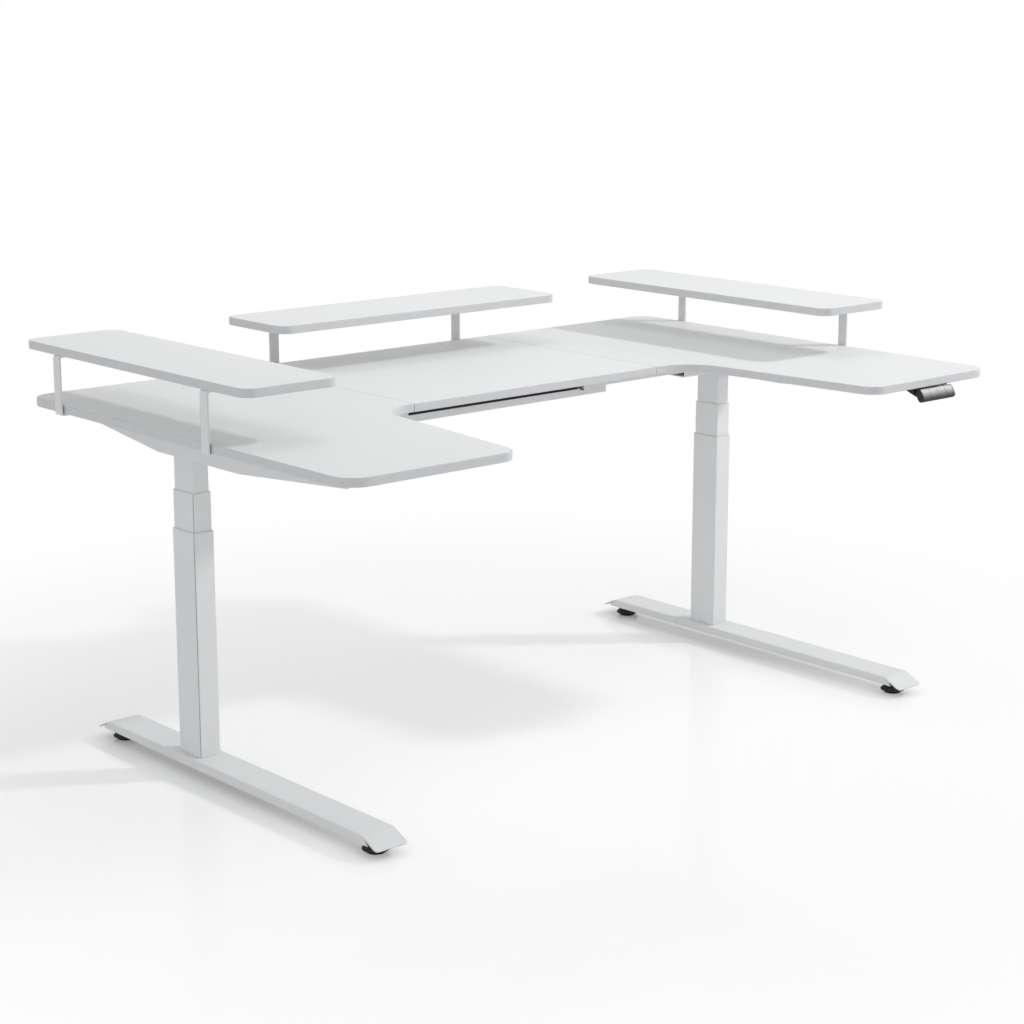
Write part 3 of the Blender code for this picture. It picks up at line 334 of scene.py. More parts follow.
class Paint:
    """The node tree of one material."""

    def __init__(self, name: str) -> None:
        """Make an empty material of that name."""
        self.material = bpy.data.materials.new(name)
        self.material.use_nodes = True
        self.tree = self.material.node_tree
        self.tree.nodes.clear()

    def node(self, kind: str, settings: dict[str, object] | None = None,
             inputs: dict[int | str, object] | None = None) -> bpy.types.Node:
        """Add one node.

        Args:
            kind: the node's type.
            settings: its properties, which are set first.
            inputs: a value or a link for each socket, by name or place.

        Returns:
            The node.
        """
        made = self.tree.nodes.new(kind)
        for key, setting in (settings or {}).items():
            setattr(made, key, setting)
        for key, term in (inputs or {}).items():
            if isinstance(term, Value):
                term = term.socket
            if isinstance(term, bpy.types.NodeSocket):
                self.tree.links.new(term, made.inputs[key])
            else:
                made.inputs[key].default_value = term
        return made

    def place(self, stretch: Colour = (1.0, 1.0, 1.0)) -> bpy.types.NodeSocket:
        """Return the point on the piece, in metres, stretched along the axes.

        Args:
            stretch: factor for each axis.

        Returns:
            The vector's socket.
        """
        spot = self.node("ShaderNodeTexCoord").outputs["Object"]
        if stretch == (1.0, 1.0, 1.0):
            return spot
        scaled = self.node("ShaderNodeVectorMath", {"operation": "MULTIPLY"},
                           {0: spot, 1: stretch})
        return scaled.outputs[0]

    def noise(self, scale: float, detail: float = 2.0,
              stretch: Colour = (1.0, 1.0, 1.0)) -> Value:
        """Return smooth noise from 0 to 1.

        Args:
            scale: features in a metre.
            detail: octaves.
            stretch: factor for each axis.

        Returns:
            The noise.
        """
        made = self.node("ShaderNodeTexNoise", {"noise_dimensions": "3D"},
                         {"Vector": self.place(stretch), "Scale": scale, "Detail": detail})
        return Value(self, made.outputs[0])

    def cells(self, scale: float) -> Value:
        """Return the distance to the nearest of many scattered points.

        Args:
            scale: cells in a metre.

        Returns:
            The distance, 0 at a cell's middle.
        """
        made = self.node("ShaderNodeTexVoronoi", {"feature": "F1"},
                         {"Vector": self.place(), "Scale": scale})
        return Value(self, made.outputs["Distance"])

    def mix(self, factor: Value | float, first: object, second: object) -> bpy.types.NodeSocket:
        """Mix two colours.

        Args:
            factor: share of the second colour.
            first: a colour or a socket.
            second: a colour or a socket.

        Returns:
            The mixed colour's socket.
        """
        terms = [(*c, 1.0) if isinstance(c, tuple) else c for c in (first, second)]
        made = self.node("ShaderNodeMix", {"data_type": "RGBA"},
                         {0: factor, 6: terms[0], 7: terms[1]})
        return made.outputs[2]

    def bump(self, height: Value, depth: float) -> bpy.types.NodeSocket:
        """Turn a height into a normal.

        Args:
            height: height from 0 to 1.
            depth: what a height of 1 is, in metres.

        Returns:
            The normal's socket.
        """
        made = self.node("ShaderNodeBump", None,
                         {"Height": height, "Distance": depth, "Strength": 1.0})
        return made.outputs[0]

    def along(self, direction: Sequence[float]) -> Value:
        """Return how far the point on the piece lies along a direction.

        Args:
            direction: the direction, of length 1.

        Returns:
            The distance from the origin, in metres.
        """
        made = self.node("ShaderNodeVectorMath", {"operation": "DOT_PRODUCT"},
                         {0: self.place(), 1: direction})
        return Value(self, made.outputs["Value"])

    def close(self, sockets: dict[str, object]) -> None:
        """Add the shader with its sockets, and the output.

        Args:
            sockets: the shader's values and links by name.
        """
        shader = self.node("ShaderNodeBsdfPrincipled", None, sockets)
        self.node("ShaderNodeOutputMaterial", None, {"Surface": shader.outputs[0]})


def shade(colour: Colour, factor: float) -> Colour:
    """Return a colour made lighter or darker.

    Args:
        colour: the colour.
        factor: what each channel is multiplied by.

    Returns:
        The new colour, at most white.
    """
    return tuple(min(channel * factor, 1.0) for channel in colour)


@dataclass(frozen=True)
class Finish:
    """A surface finish: its name, colour and gloss."""

    name: str
    slot: str
    colour: Colour
    roughness: float = 0.5
    shine: float = 0.5

    def material(self) -> bpy.types.Material:
        """Return the finish's material, made the first time it is asked for."""
        made = bpy.data.materials.get(self.name)
        if made is None:
            paint = Paint(self.name)
            self.dress(paint)
            made = paint.material
        return made

    def dress(self, paint: Paint) -> None:
        """Fill the material. Each kind of finish has its own way."""
        raise NotImplementedError

    def coat(self, paint: Paint, colour: bpy.types.NodeSocket, gloss: Value, relief: Value,
             depth: float, metallic: float = 0.0) -> None:
        """Close the material with the sockets that every finish fills.

        Args:
            paint: the material.
            colour: the base colour.
            gloss: the roughness.
            relief: height of the surface, from 0 to 1.
            depth: what a height of 1 is, in metres.
            metallic: share of metal.
        """
        paint.close({"Base Color": colour, "Roughness": gloss, "Metallic": metallic,
                     "Specular IOR Level": self.shine, "Normal": paint.bump(relief, depth)})


@dataclass(frozen=True)
class Laminate(Finish):
    """Melamine facing: a fine pearl texture over a slightly cloudy white."""

    pearl: float = 900.0
    depth: float = 0.00003

    def dress(self, paint: Paint) -> None:
        """Fill the material: clouding, fine mottle, pressed pearl and handling marks."""
        cloud = paint.noise(2.6, 3.0)
        mottle = paint.noise(260.0, 2.0)
        pearl = paint.noise(self.pearl, 3.0)
        pits = paint.cells(self.pearl * 0.8)
        rubbed = paint.noise(14.0, 4.0).step(0.50, 0.72)
        tone = cloud * 0.7 + mottle * 0.3
        colour = paint.mix(tone, shade(self.colour, 0.985), shade(self.colour, 1.012))
        gloss = pearl * 0.08 + self.roughness - 0.04 - rubbed * 0.05
        relief = pearl * 0.6 + pits * 0.4
        self.coat(paint, colour, gloss, relief, self.depth)


@dataclass(frozen=True)
class EdgeBand(Finish):
    """A plastic edge band: drawn lines along the edge and slight shade changes."""

    depth: float = 0.00003

    def dress(self, paint: Paint) -> None:
        """Fill the material: lines along the band, a cutter's chatter and mottle."""
        drawn = paint.noise(30.0, 3.0, (1.0, 1.0, 60.0))
        mottle = paint.noise(70.0, 2.0)
        chatter = paint.noise(420.0, 1.0, (1.0, 1.0, 0.05))
        tone = drawn * 0.5 + mottle * 0.5
        colour = paint.mix(tone, shade(self.colour, 0.97), shade(self.colour, 1.02))
        relief = drawn * 0.7 + chatter * 0.3
        self.coat(paint, colour, drawn * 0.12 + self.roughness - 0.06, relief, self.depth)


@dataclass(frozen=True)
class PowderCoat(Finish):
    """Powder coat: orange peel, fine specks and a film that varies a little."""

    peel: float = 420.0
    depth: float = 0.00009

    def dress(self, paint: Paint) -> None:
        """Fill the material: orange peel, specks and patches of thinner film."""
        film = paint.noise(5.0, 3.0)
        peel = paint.noise(self.peel, 2.0)
        grain = paint.noise(self.peel * 4.0, 2.0)
        specks = 1.0 - paint.cells(self.peel * 1.6).step(0.10, 0.24)
        clean = paint.mix(film, shade(self.colour, 0.975), shade(self.colour, 1.015))
        colour = paint.mix(specks * 0.10, clean, shade(self.colour, 0.80))
        relief = peel * 0.65 + grain * 0.35
        self.coat(paint, colour, peel * 0.10 + self.roughness - 0.05, relief, self.depth)


@dataclass(frozen=True)
class PlatedSteel(Finish):
    """Zinc plate: a bright metal with a bluish and yellowish bloom and fine scratches."""

    bloom: Colour = (0.66, 0.62, 0.52)
    depth: float = 0.00004

    def dress(self, paint: Paint) -> None:
        """Fill the material: crystalline bloom, brushing and dull spots."""
        bloom = paint.noise(120.0, 3.0).step(0.42, 0.66)
        brush = paint.noise(500.0, 2.0, (0.08, 1.0, 1.0))
        dull = paint.cells(900.0).step(0.15, 0.5)
        colour = paint.mix(bloom * 0.55, self.colour, self.bloom)
        gloss = brush * 0.16 + dull * 0.08 + self.roughness - 0.10
        self.coat(paint, colour, gloss, brush, self.depth, 1.0)


@dataclass(frozen=True)
class TurnedMetal(Finish):
    """Metal turned on a lathe: rings along its axis and a film of grease."""

    pitch: float = 0.0008
    depth: float = 0.00006

    def dress(self, paint: Paint) -> None:
        """Fill the material: turning marks across the height and greasy patches."""
        rings = paint.noise(1.0 / self.pitch, 1.0, (0.02, 0.02, 1.0))
        grease = paint.noise(60.0, 3.0).step(0.48, 0.62)
        colour = paint.mix(grease * 0.5, self.colour, shade(self.colour, 0.6))
        gloss = rings * 0.15 + self.roughness - grease * 0.10
        self.coat(paint, colour, gloss, rings, self.depth, 1.0)


@dataclass(frozen=True)
class Moulded(Finish):
    """Moulded plastic with a spark-eroded grain."""

    grain: float = 1500.0
    depth: float = 0.00005
    worn: float = 1.35

    def dress(self, paint: Paint) -> None:
        """Fill the material: grain, faint flow marks and lighter rubbed places."""
        grain = paint.noise(self.grain, 3.0)
        pits = paint.cells(self.grain * 0.7)
        flow = paint.noise(18.0, 3.0, (1.0, 2.5, 1.0))
        rubbed = paint.noise(34.0, 4.0).step(0.56, 0.74)
        tone = paint.mix(flow, shade(self.colour, 0.90), shade(self.colour, 1.08))
        colour = paint.mix(rubbed * 0.5, tone, shade(self.colour, self.worn))
        gloss = grain * 0.12 + self.roughness - 0.04 - rubbed * 0.05
        relief = grain * 0.5 + pits * 0.5
        self.coat(paint, colour, gloss, relief, self.depth)


@dataclass(frozen=True)
class SatinPaint(Finish):
    """Silver-grey paint on plastic: metal flakes under a satin film, with painted shade that
    darkens it downwards.
    """

    metallic: float = 0.15
    flake: float = 2600.0
    depth: float = 0.00002
    # Direction along which the painted shade fades in, and the colour of that painted shade at
    # the lower edge.
    up: Colour = (0.0, 0.53, 0.848)
    fade: Flat = (0.3150, 0.3350)
    painted_shade_colour: Colour = (0.060, 0.060, 0.061)

    def dress(self, paint: Paint) -> None:
        """Fill the material: a painted shade downwards, flakes, a soft cloud and finger-polished
        patches.
        """
        # Painted shade: the colour turns near black towards the lower edge, standing in for the
        # shading there.
        fade = paint.along(self.up).step(*self.fade)
        flakes = paint.cells(self.flake).step(0.05, 0.35)
        cloud = paint.noise(90.0, 2.0)
        polished = paint.noise(45.0, 3.0).step(0.45, 0.70)
        tone = flakes * 0.5 + cloud * 0.5
        bright = paint.mix(tone, shade(self.colour, 0.88), shade(self.colour, 1.10))
        colour = paint.mix(fade, self.painted_shade_colour, bright)
        gloss = flakes * 0.10 + self.roughness - polished * 0.06
        self.coat(paint, colour, gloss, flakes, self.depth, self.metallic)


class Looks:
    """The finishes of this desk."""

    TOP = Laminate("desk_laminate", "laminated_board", (0.820, 0.824, 0.822), 0.50, 0.2)
    BACKING = Laminate("backing_laminate", "laminated_board", (0.79, 0.79, 0.785), 0.60,
                       0.2, 600.0, 0.00005)
    BAND = EdgeBand("edge_band", "laminated_board", (0.650, 0.655, 0.668), 0.45, 0.3)
    STEEL = PowderCoat("white_powder_coat", "powder_coat", (0.785, 0.788, 0.790), 0.50, 0.3)
    # Painted shade: a dark line that stands in for the shade and dark reflection along a rounded
    # tube corner.
    CORNER_LINE = PowderCoat("painted_corner_shade", "powder_coat", (0.27, 0.27, 0.275), 0.50, 0.2)
    ZINC = PlatedSteel("zinc_plate", "zinc_steel", (0.60, 0.62, 0.65), 0.36)
    SPINDLE = TurnedMetal("spindle_steel", "zinc_steel", (0.50, 0.51, 0.53), 0.34)
    BRASS = TurnedMetal("turned_brass", "nut_brass", (0.76, 0.58, 0.27), 0.30, pitch=0.0006)
    NYLON = Moulded("natural_nylon", "nylon", (0.74, 0.73, 0.67), 0.42, grain=700.0,
                    depth=0.00003, worn=1.05)
    DRIVE = Moulded("drive_black", "drive_black", (0.030, 0.030, 0.032), 0.42, grain=900.0)
    BLACK = Moulded("black_plastic", "black_plastic", (0.005, 0.005, 0.0054), 0.36, 0.015)
    RUBBER = Moulded("pad_rubber", "black_plastic", (0.006, 0.006, 0.006), 0.78, 0.15, 2200.0,
                     0.00008, 2.2)
    # The buttons' paint has painted shade that darkens each button towards its lower edge.
    BUTTON = SatinPaint("silver_grey_paint", "silver_grey_plastic", (0.47, 0.47, 0.472), 0.45,
                        0.25)


# Meshes


def placed(name: str, data: bpy.types.ID) -> bpy.types.Object:
    """Put a new object in the scene.

    Args:
        name: its name.
        data: its mesh, lamp or camera.

    Returns:
        The object.
    """
    made = bpy.data.objects.new(name, data)
    bpy.context.scene.collection.objects.link(made)
    return made


class Form:
    """A mesh in the making, in metres in the desk's frame."""

    def __init__(self) -> None:
        """Start with an empty mesh."""
        self.mesh = bmesh.new()

    def prism(self, outline: Outline, axis: Axis, start: float, end: float) -> "Form":
        """Add a closed outline extruded along an axis.

        Args:
            outline: the closed outline.
            axis: the axis across which it is drawn.
            start: place of the first end on the axis.
            end: place of the other end.

        Returns:
            This form.
        """
        known = set(self.mesh.faces)
        ring = [self.mesh.verts.new(axis.point(u, v, start)) for u, v in outline]
        swept = bmesh.ops.extrude_face_region(self.mesh, geom=[self.mesh.faces.new(ring)])
        moved = [item for item in swept["geom"] if isinstance(item, bmesh.types.BMVert)]
        bmesh.ops.translate(self.mesh, verts=moved, vec=axis.point(0, 0, end - start))
        fresh = [face for face in self.mesh.faces if face not in known]
        bmesh.ops.recalc_face_normals(self.mesh, faces=fresh)
        return self

    def ring(self, outer: Outline, inner: Outline, start: float, end: float) -> "Form":
        """Add the wall between two upright outlines of equal point count.

        Args:
            outer: the outer outline.
            inner: the inner outline.
            start: height of the lower end.
            end: height of the upper end.

        Returns:
            This form.
        """
        loops = []
        for outline, height in ((outer, start), (outer, end), (inner, end), (inner, start)):
            loops.append([self.mesh.verts.new((u, v, height)) for u, v in outline])
        count = len(outer)
        fresh = []
        for loop, following in zip(loops, loops[1:] + loops[:1]):
            for index in range(count):
                ahead = (index + 1) % count
                fresh.append(self.mesh.faces.new(
                    (loop[index], loop[ahead], following[ahead], following[index])))
        bmesh.ops.recalc_face_normals(self.mesh, faces=fresh)
        return self

    def lathe(self, profile: Sequence[Flat], steps: int, centre: Flat = (0.0, 0.0),
              hollow: bool = False) -> "Form":
        """Add a profile turned round an upright axis.

        Args:
            profile: (radius, height) points.
            steps: steps in a full turn.
            centre: place of the axis.
            hollow: whether the profile is a closed ring.

        Returns:
            This form.
        """
        part = bmesh.new()
        points = [part.verts.new((radius, 0.0, height)) for radius, height in profile]
        pairs = list(zip(points, points[1:])) + ([(points[-1], points[0])] if hollow else [])
        edges = [part.edges.new(pair) for pair in pairs]
        bmesh.ops.spin(part, geom=points + edges, cent=(0, 0, 0), axis=(0, 0, 1),
                       dvec=(0, 0, 0), angle=2 * math.pi, steps=steps)
        bmesh.ops.remove_doubles(part, verts=part.verts, dist=MERGE)
        bmesh.ops.recalc_face_normals(part, faces=part.faces)
        data = bpy.data.meshes.new("lathe")
        part.to_mesh(data)
        part.free()
        self.add(data, Matrix.Translation((*centre, 0.0)))
        bpy.data.meshes.remove(data)
        return self

    def add(self, data: bpy.types.Mesh, matrix: Matrix, finish: int = 0) -> None:
        """Add a copy of a mesh.

        Args:
            data: the mesh.
            matrix: where it goes.
            finish: place of its finish in the piece's list.
        """
        verts, faces = set(self.mesh.verts), set(self.mesh.faces)
        self.mesh.from_mesh(data)
        fresh = [vert for vert in self.mesh.verts if vert not in verts]
        bmesh.ops.transform(self.mesh, matrix=matrix, verts=fresh)
        for face in self.mesh.faces:
            if face not in faces:
                face.material_index = finish

    def move(self, matrix: Matrix) -> None:
        """Move the whole form."""
        bmesh.ops.transform(self.mesh, matrix=matrix, verts=self.mesh.verts)

    def data(self, name: str) -> bpy.types.Mesh:
        """Return the form as a mesh of its own.

        Args:
            name: the mesh's name.

        Returns:
            The mesh.
        """
        made = bpy.data.meshes.new(name)
        self.mesh.to_mesh(made)
        return made

    def _boolean(self, tool: "Form", operation: str) -> "Form":
        """Combine this form with another.

        Args:
            tool: the other form.
            operation: the Boolean operation.

        Returns:
            This form.
        """
        body, cutter = (placed(name, form.data(name))
                        for name, form in (("form_body", self), ("form_tool", tool)))
        step = body.modifiers.new("combine", "BOOLEAN")
        step.operation, step.solver, step.object = operation, "EXACT", cutter
        bpy.context.view_layer.update()
        shaped = body.evaluated_get(bpy.context.evaluated_depsgraph_get())
        result = bpy.data.meshes.new_from_object(shaped)
        self.mesh.free()
        self.mesh = bmesh.new()
        self.mesh.from_mesh(result)
        bpy.data.meshes.remove(result)
        for item in (body, cutter):
            data = item.data
            bpy.data.objects.remove(item, do_unlink=True)
            bpy.data.meshes.remove(data)
        return self

    def cut(self, tool: "Form") -> "Form":
        """Cut another form away."""
        return self._boolean(tool, "DIFFERENCE")

    def keep(self, tool: "Form") -> "Form":
        """Keep only what lies in another form."""
        return self._boolean(tool, "INTERSECT")

    def join(self, tool: "Form") -> "Form":
        """Unite this form with another."""
        return self._boolean(tool, "UNION")

    def round_edges(self, width: float, segments: int = 2,
                    where: Callable[[bmesh.types.BMEdge], bool] | None = None,
                    sharper: float = 40.0) -> None:
        """Round the sharp edges.

        Args:
            width: radius of the rounding.
            segments: steps across it.
            where: which of the sharp edges are rounded; all of them if not given.
            sharper: the angle in degrees above which an edge counts as sharp.
        """
        limit = math.radians(sharper)
        edges = [edge for edge in self.mesh.edges
                 if len(edge.link_faces) == 2 and edge.calc_face_angle(0.0) > limit
                 and (where is None or where(edge))]
        bmesh.ops.bevel(self.mesh, geom=edges, offset=width, segments=segments,
                        profile=0.5, affect="EDGES", clamp_overlap=True)

    def paint(self, where: Callable[[bmesh.types.BMFace], bool], finish: int) -> None:
        """Give some faces another finish.

        Args:
            where: which faces.
            finish: place of the finish in the piece's list.
        """
        for face in self.mesh.faces:
            if where(face):
                face.material_index = finish

    def stand_in(self, node: str, finishes: Sequence[Finish], body: str = "top",
              sharp: float = 40.0) -> None:
        """Turn the form into the piece that takes the place of a CAD node.

        Args:
            node: the CAD node.
            finishes: the piece's finishes; faces name them by place.
            body: the CAD body that it moves with.
            sharp: the angle in degrees above which an edge stays sharp.
        """
        self.piece(node + "_dressed", finishes, body, sharp, node)

    def piece(self, name: str, finishes: Sequence[Finish], body: str = "top",
              sharp: float = 40.0, node: str = "") -> None:
        """Turn the form into a piece that rides on a body.

        Args:
            name: the piece's name.
            finishes: its finishes; faces name them by place.
            body: the CAD body that it moves with.
            sharp: the angle in degrees above which an edge stays sharp.
            node: the CAD node that it replaces, if there is one.
        """
        data = self.data(name)
        self.mesh.free()
        for finish in finishes:
            data.materials.append(finish.material())
        data.shade_smooth()
        data.set_sharp_from_angle(angle=math.radians(sharp))
        made = placed(name, data)
        evened = made.modifiers.new("even_shading", "WEIGHTED_NORMAL")
        evened.keep_sharp = True
        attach(made, body)
        if node:
            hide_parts(node)
        log.info("%s: %d faces on %s", name, len(data.polygons), body)


@dataclass(frozen=True)
class Fastener:
    """A screw or bolt head; its dome and recess are shares of its radius and height."""

    name: str
    radius: float
    height: float
    head: Head
    steps: int = 28
    dome: tuple[Flat, ...] = ((0.0, 1.0), (0.35, 1.0), (0.62, 0.97), (0.82, 0.84),
                              (0.95, 0.58), (1.0, 0.30), (1.0, 0.0))
    bite: float = 0.0002
    recess_end: float = 0.35
    hexagon: float = 0.52
    cross: Flat = (0.60, 0.13)
    spin_start: float = 0.3
    spin_step: float = 0.7

    def template(self) -> bpy.types.Mesh:
        """Return the head's mesh, seated on Z = 0 and pointing down, made once."""
        known = bpy.data.meshes.get(self.name)
        if known is not None:
            return known
        profile = [(self.radius * out, -self.height * up) for out, up in self.dome]
        profile += [(self.radius, self.bite), (0.0, self.bite)]
        form = Form().lathe(profile, self.steps)
        form.cut(self.recess())
        made = form.data(self.name)
        form.mesh.free()
        return made

    def recess(self) -> Form:
        """Return what the driver's recess takes away."""
        deep, high = -self.height * self.recess_end, -2 * self.height
        if self.head is Head.HEXAGON:
            return Form().prism(circle(self.radius * self.hexagon, 6), Axis.Z, high, deep)
        reach, half = (self.radius * share for share in self.cross)
        cross = [(half, half), (half, reach), (-half, reach), (-half, half), (-reach, half),
                 (-reach, -half), (-half, -half), (-half, -reach), (half, -reach),
                 (half, -half), (reach, -half), (reach, half)]
        return Form().prism(cross, Axis.Z, high, deep)

    def drive(self, form: Form, seats: Iterable[Vector], finish: int,
              turn: Matrix = Matrix.Identity(4)) -> None:
        """Add heads to a form.

        Args:
            form: the form that they are driven into.
            seats: the points where the heads meet it.
            finish: place of their finish in the piece's list.
            turn: how the heads are turned from pointing down.
        """
        for index, seat in enumerate(seats):
            spin = Matrix.Rotation(self.spin_step * index + self.spin_start, 4, "Z")
            form.add(self.template(), Matrix.Translation(seat) @ turn @ spin, finish)


class Fasteners:
    """The fasteners of this desk."""

    WOOD_SCREW = Fastener("wood_screw_head", 0.0045, 0.0024, Head.CROSS)
    RAIL_BOLT = Fastener("rail_bolt_head", 0.0055, 0.0035, Head.HEXAGON)
    FOOT_BOLT = Fastener("foot_bolt_head", 0.0065, 0.0050, Head.HEXAGON)
    CASE_SCREW = Fastener("case_screw_head", 0.0022, 0.0009, Head.CROSS, steps=20)


TO_REAR = Matrix.Rotation(math.pi / 2, 4, "X")


# The desk's layout


@dataclass(frozen=True)
class Layout:
    """Heights and places that several sub-assemblies share."""

    half_width: float = 0.915
    depth: float = 1.124
    back: float = 0.5664
    underside: float = 0.753
    top: float = 0.771
    seam: float = 0.355
    seam_gap: float = 0.0016
    seat: float = 0.0003
    column_x: float = 0.769
    column_y: float = 0.1704
    head_bottom: float = 0.692
    head_width: float = 0.080

    @property
    def front(self) -> float:
        """Return the Y of the desk's front edge."""
        return self.back - self.depth

    @property
    def flange_top(self) -> float:
        """Return the height of the flanges under the boards."""
        return self.underside - self.seat


LAYOUT = Layout()


# Boards


@dataclass
class DeskTop:
    """The three desk boards, and the plates that join them."""

    layout: Layout = LAYOUT
    centre_depth: float = 0.614
    wing_return: float = 0.011
    inner_corner: float = 0.100
    wing_angle: float = math.radians(6.3)
    outer_corner: float = 0.050
    tip_corner: float = 0.042
    edge_round: float = 0.0016
    band_width: float = 0.0004
    arc_steps: int = 28
    plate: tuple[float, float, float] = (0.100, 0.040, 0.0025)
    plate_corner: float = 0.006
    plate_round: float = 0.0003
    plate_inset: float = 0.080
    strip_drop: float = 0.0007
    strip_height: float = 0.008
    strip_play: float = 0.00005
    strip_setback: float = 0.004
    screw_pitch: Flat = (0.074, 0.020)

    def wing(self, side: Side) -> Outline:
        """Draw a wing board.

        Args:
            side: left or right.

        Returns:
            Its outline.
        """
        plan = self.layout
        inner = plan.back - self.centre_depth
        arc = plan.seam + self.wing_return
        touch_x = arc + self.inner_corner * math.cos(self.wing_angle)
        touch_y = inner - self.inner_corner * (1 - math.sin(self.wing_angle))
        corner_x = touch_x - (inner - touch_y) * math.tan(self.wing_angle)
        tip_x = touch_x + (touch_y - plan.front) * math.tan(self.wing_angle)
        seam = plan.seam + plan.seam_gap / 2
        corners = [(seam, plan.back), (seam, inner), (corner_x, inner), (tip_x, plan.front),
                   (plan.half_width, plan.front), (plan.half_width, plan.back)]
        radii = [0.0, 0.0, self.inner_corner, self.tip_corner, self.outer_corner,
                 self.outer_corner]
        return [(side.value * x, y) for x, y in rounded(corners, radii, self.arc_steps)]

    def board(self, name: str, outline: Outline, low: float, high: float) -> None:
        """Make a board with its facings and its edge band.

        Args:
            name: the CAD node that it replaces.
            outline: the board's outline.
            low: height of its underside.
            high: height of its top.
        """
        seam = self.layout.seam + self.layout.seam_gap
        gap = self.layout.seam_gap

        def is_rim(edge: bmesh.types.BMEdge) -> bool:
            """Tell whether an edge runs round a face and isn't at a seam."""
            first, second = (vert.co for vert in edge.verts)
            at_seam = (max(abs(first.x), abs(second.x)) < seam
                       and abs(first.x - second.x) < gap)
            return abs(first.z - second.z) < gap and not at_seam

        form = Form().prism(outline, Axis.Z, low, high)
        form.round_edges(self.edge_round, 4, is_rim)
        facing = max(form.mesh.faces, key=lambda face: face.normal.z * face.calc_area())
        bmesh.ops.inset_region(form.mesh, faces=[facing], thickness=self.band_width,
                               use_even_offset=True)
        form.mesh.normal_update()
        largest = max(face.calc_area() for face in form.mesh.faces)
        form.paint(lambda face: face.calc_area() < largest / 2, 1)
        form.paint(lambda face: face.normal.z < -SQUARE, 2)
        form.stand_in(name, [Looks.TOP, Looks.BAND, Looks.BACKING])

    def plates(self) -> None:
        """Make the four plates under the seams, with their screws."""
        plan = self.layout
        width, depth, thickness = self.plate
        rows = {"rear": plan.back - self.plate_inset,
                "front": plan.back - self.centre_depth + self.plate_inset}
        bottom = plan.flange_top - thickness
        for side in Side:
            for row, y in rows.items():
                x = side.value * plan.seam
                outline = shifted(centred(width, depth, self.plate_corner), x, y)
                form = Form().prism(outline, Axis.Z, bottom, plan.flange_top)
                form.round_edges(self.plate_round)
                seats = raised(shifted(centred(*self.screw_pitch), x, y), bottom)
                Fasteners.WOOD_SCREW.drive(form, seats, 0)
                form.stand_in(f"seam_plate_{side.label}_{row}", [Looks.ZINC])

    def strips(self) -> None:
        """Lay a strip in each seam, just below the top, so that only its ends show dark."""
        plan = self.layout
        high = plan.top - self.strip_drop
        half = plan.seam_gap / 2 - self.strip_play
        front = plan.back - self.centre_depth + self.strip_setback
        back = plan.back - self.strip_setback
        for side in Side:
            x = side.value * plan.seam
            strip = rectangle((x - half, front), (x + half, back))
            form = Form().prism(strip, Axis.Z, high - self.strip_height, high)
            form.piece(f"seam_strip_{side.label}", [Looks.TOP])

    def build(self) -> None:
        """Make the boards, the strips and the plates."""
        plan = self.layout
        seam = plan.seam - plan.seam_gap / 2
        centre = rectangle((-seam, plan.back - self.centre_depth), (seam, plan.back))
        self.board("centre_board", centre, plan.underside, plan.top)
        for side in Side:
            self.board(side.label + "_wing_board", self.wing(side), plan.underside, plan.top)
        self.strips()
        self.plates()


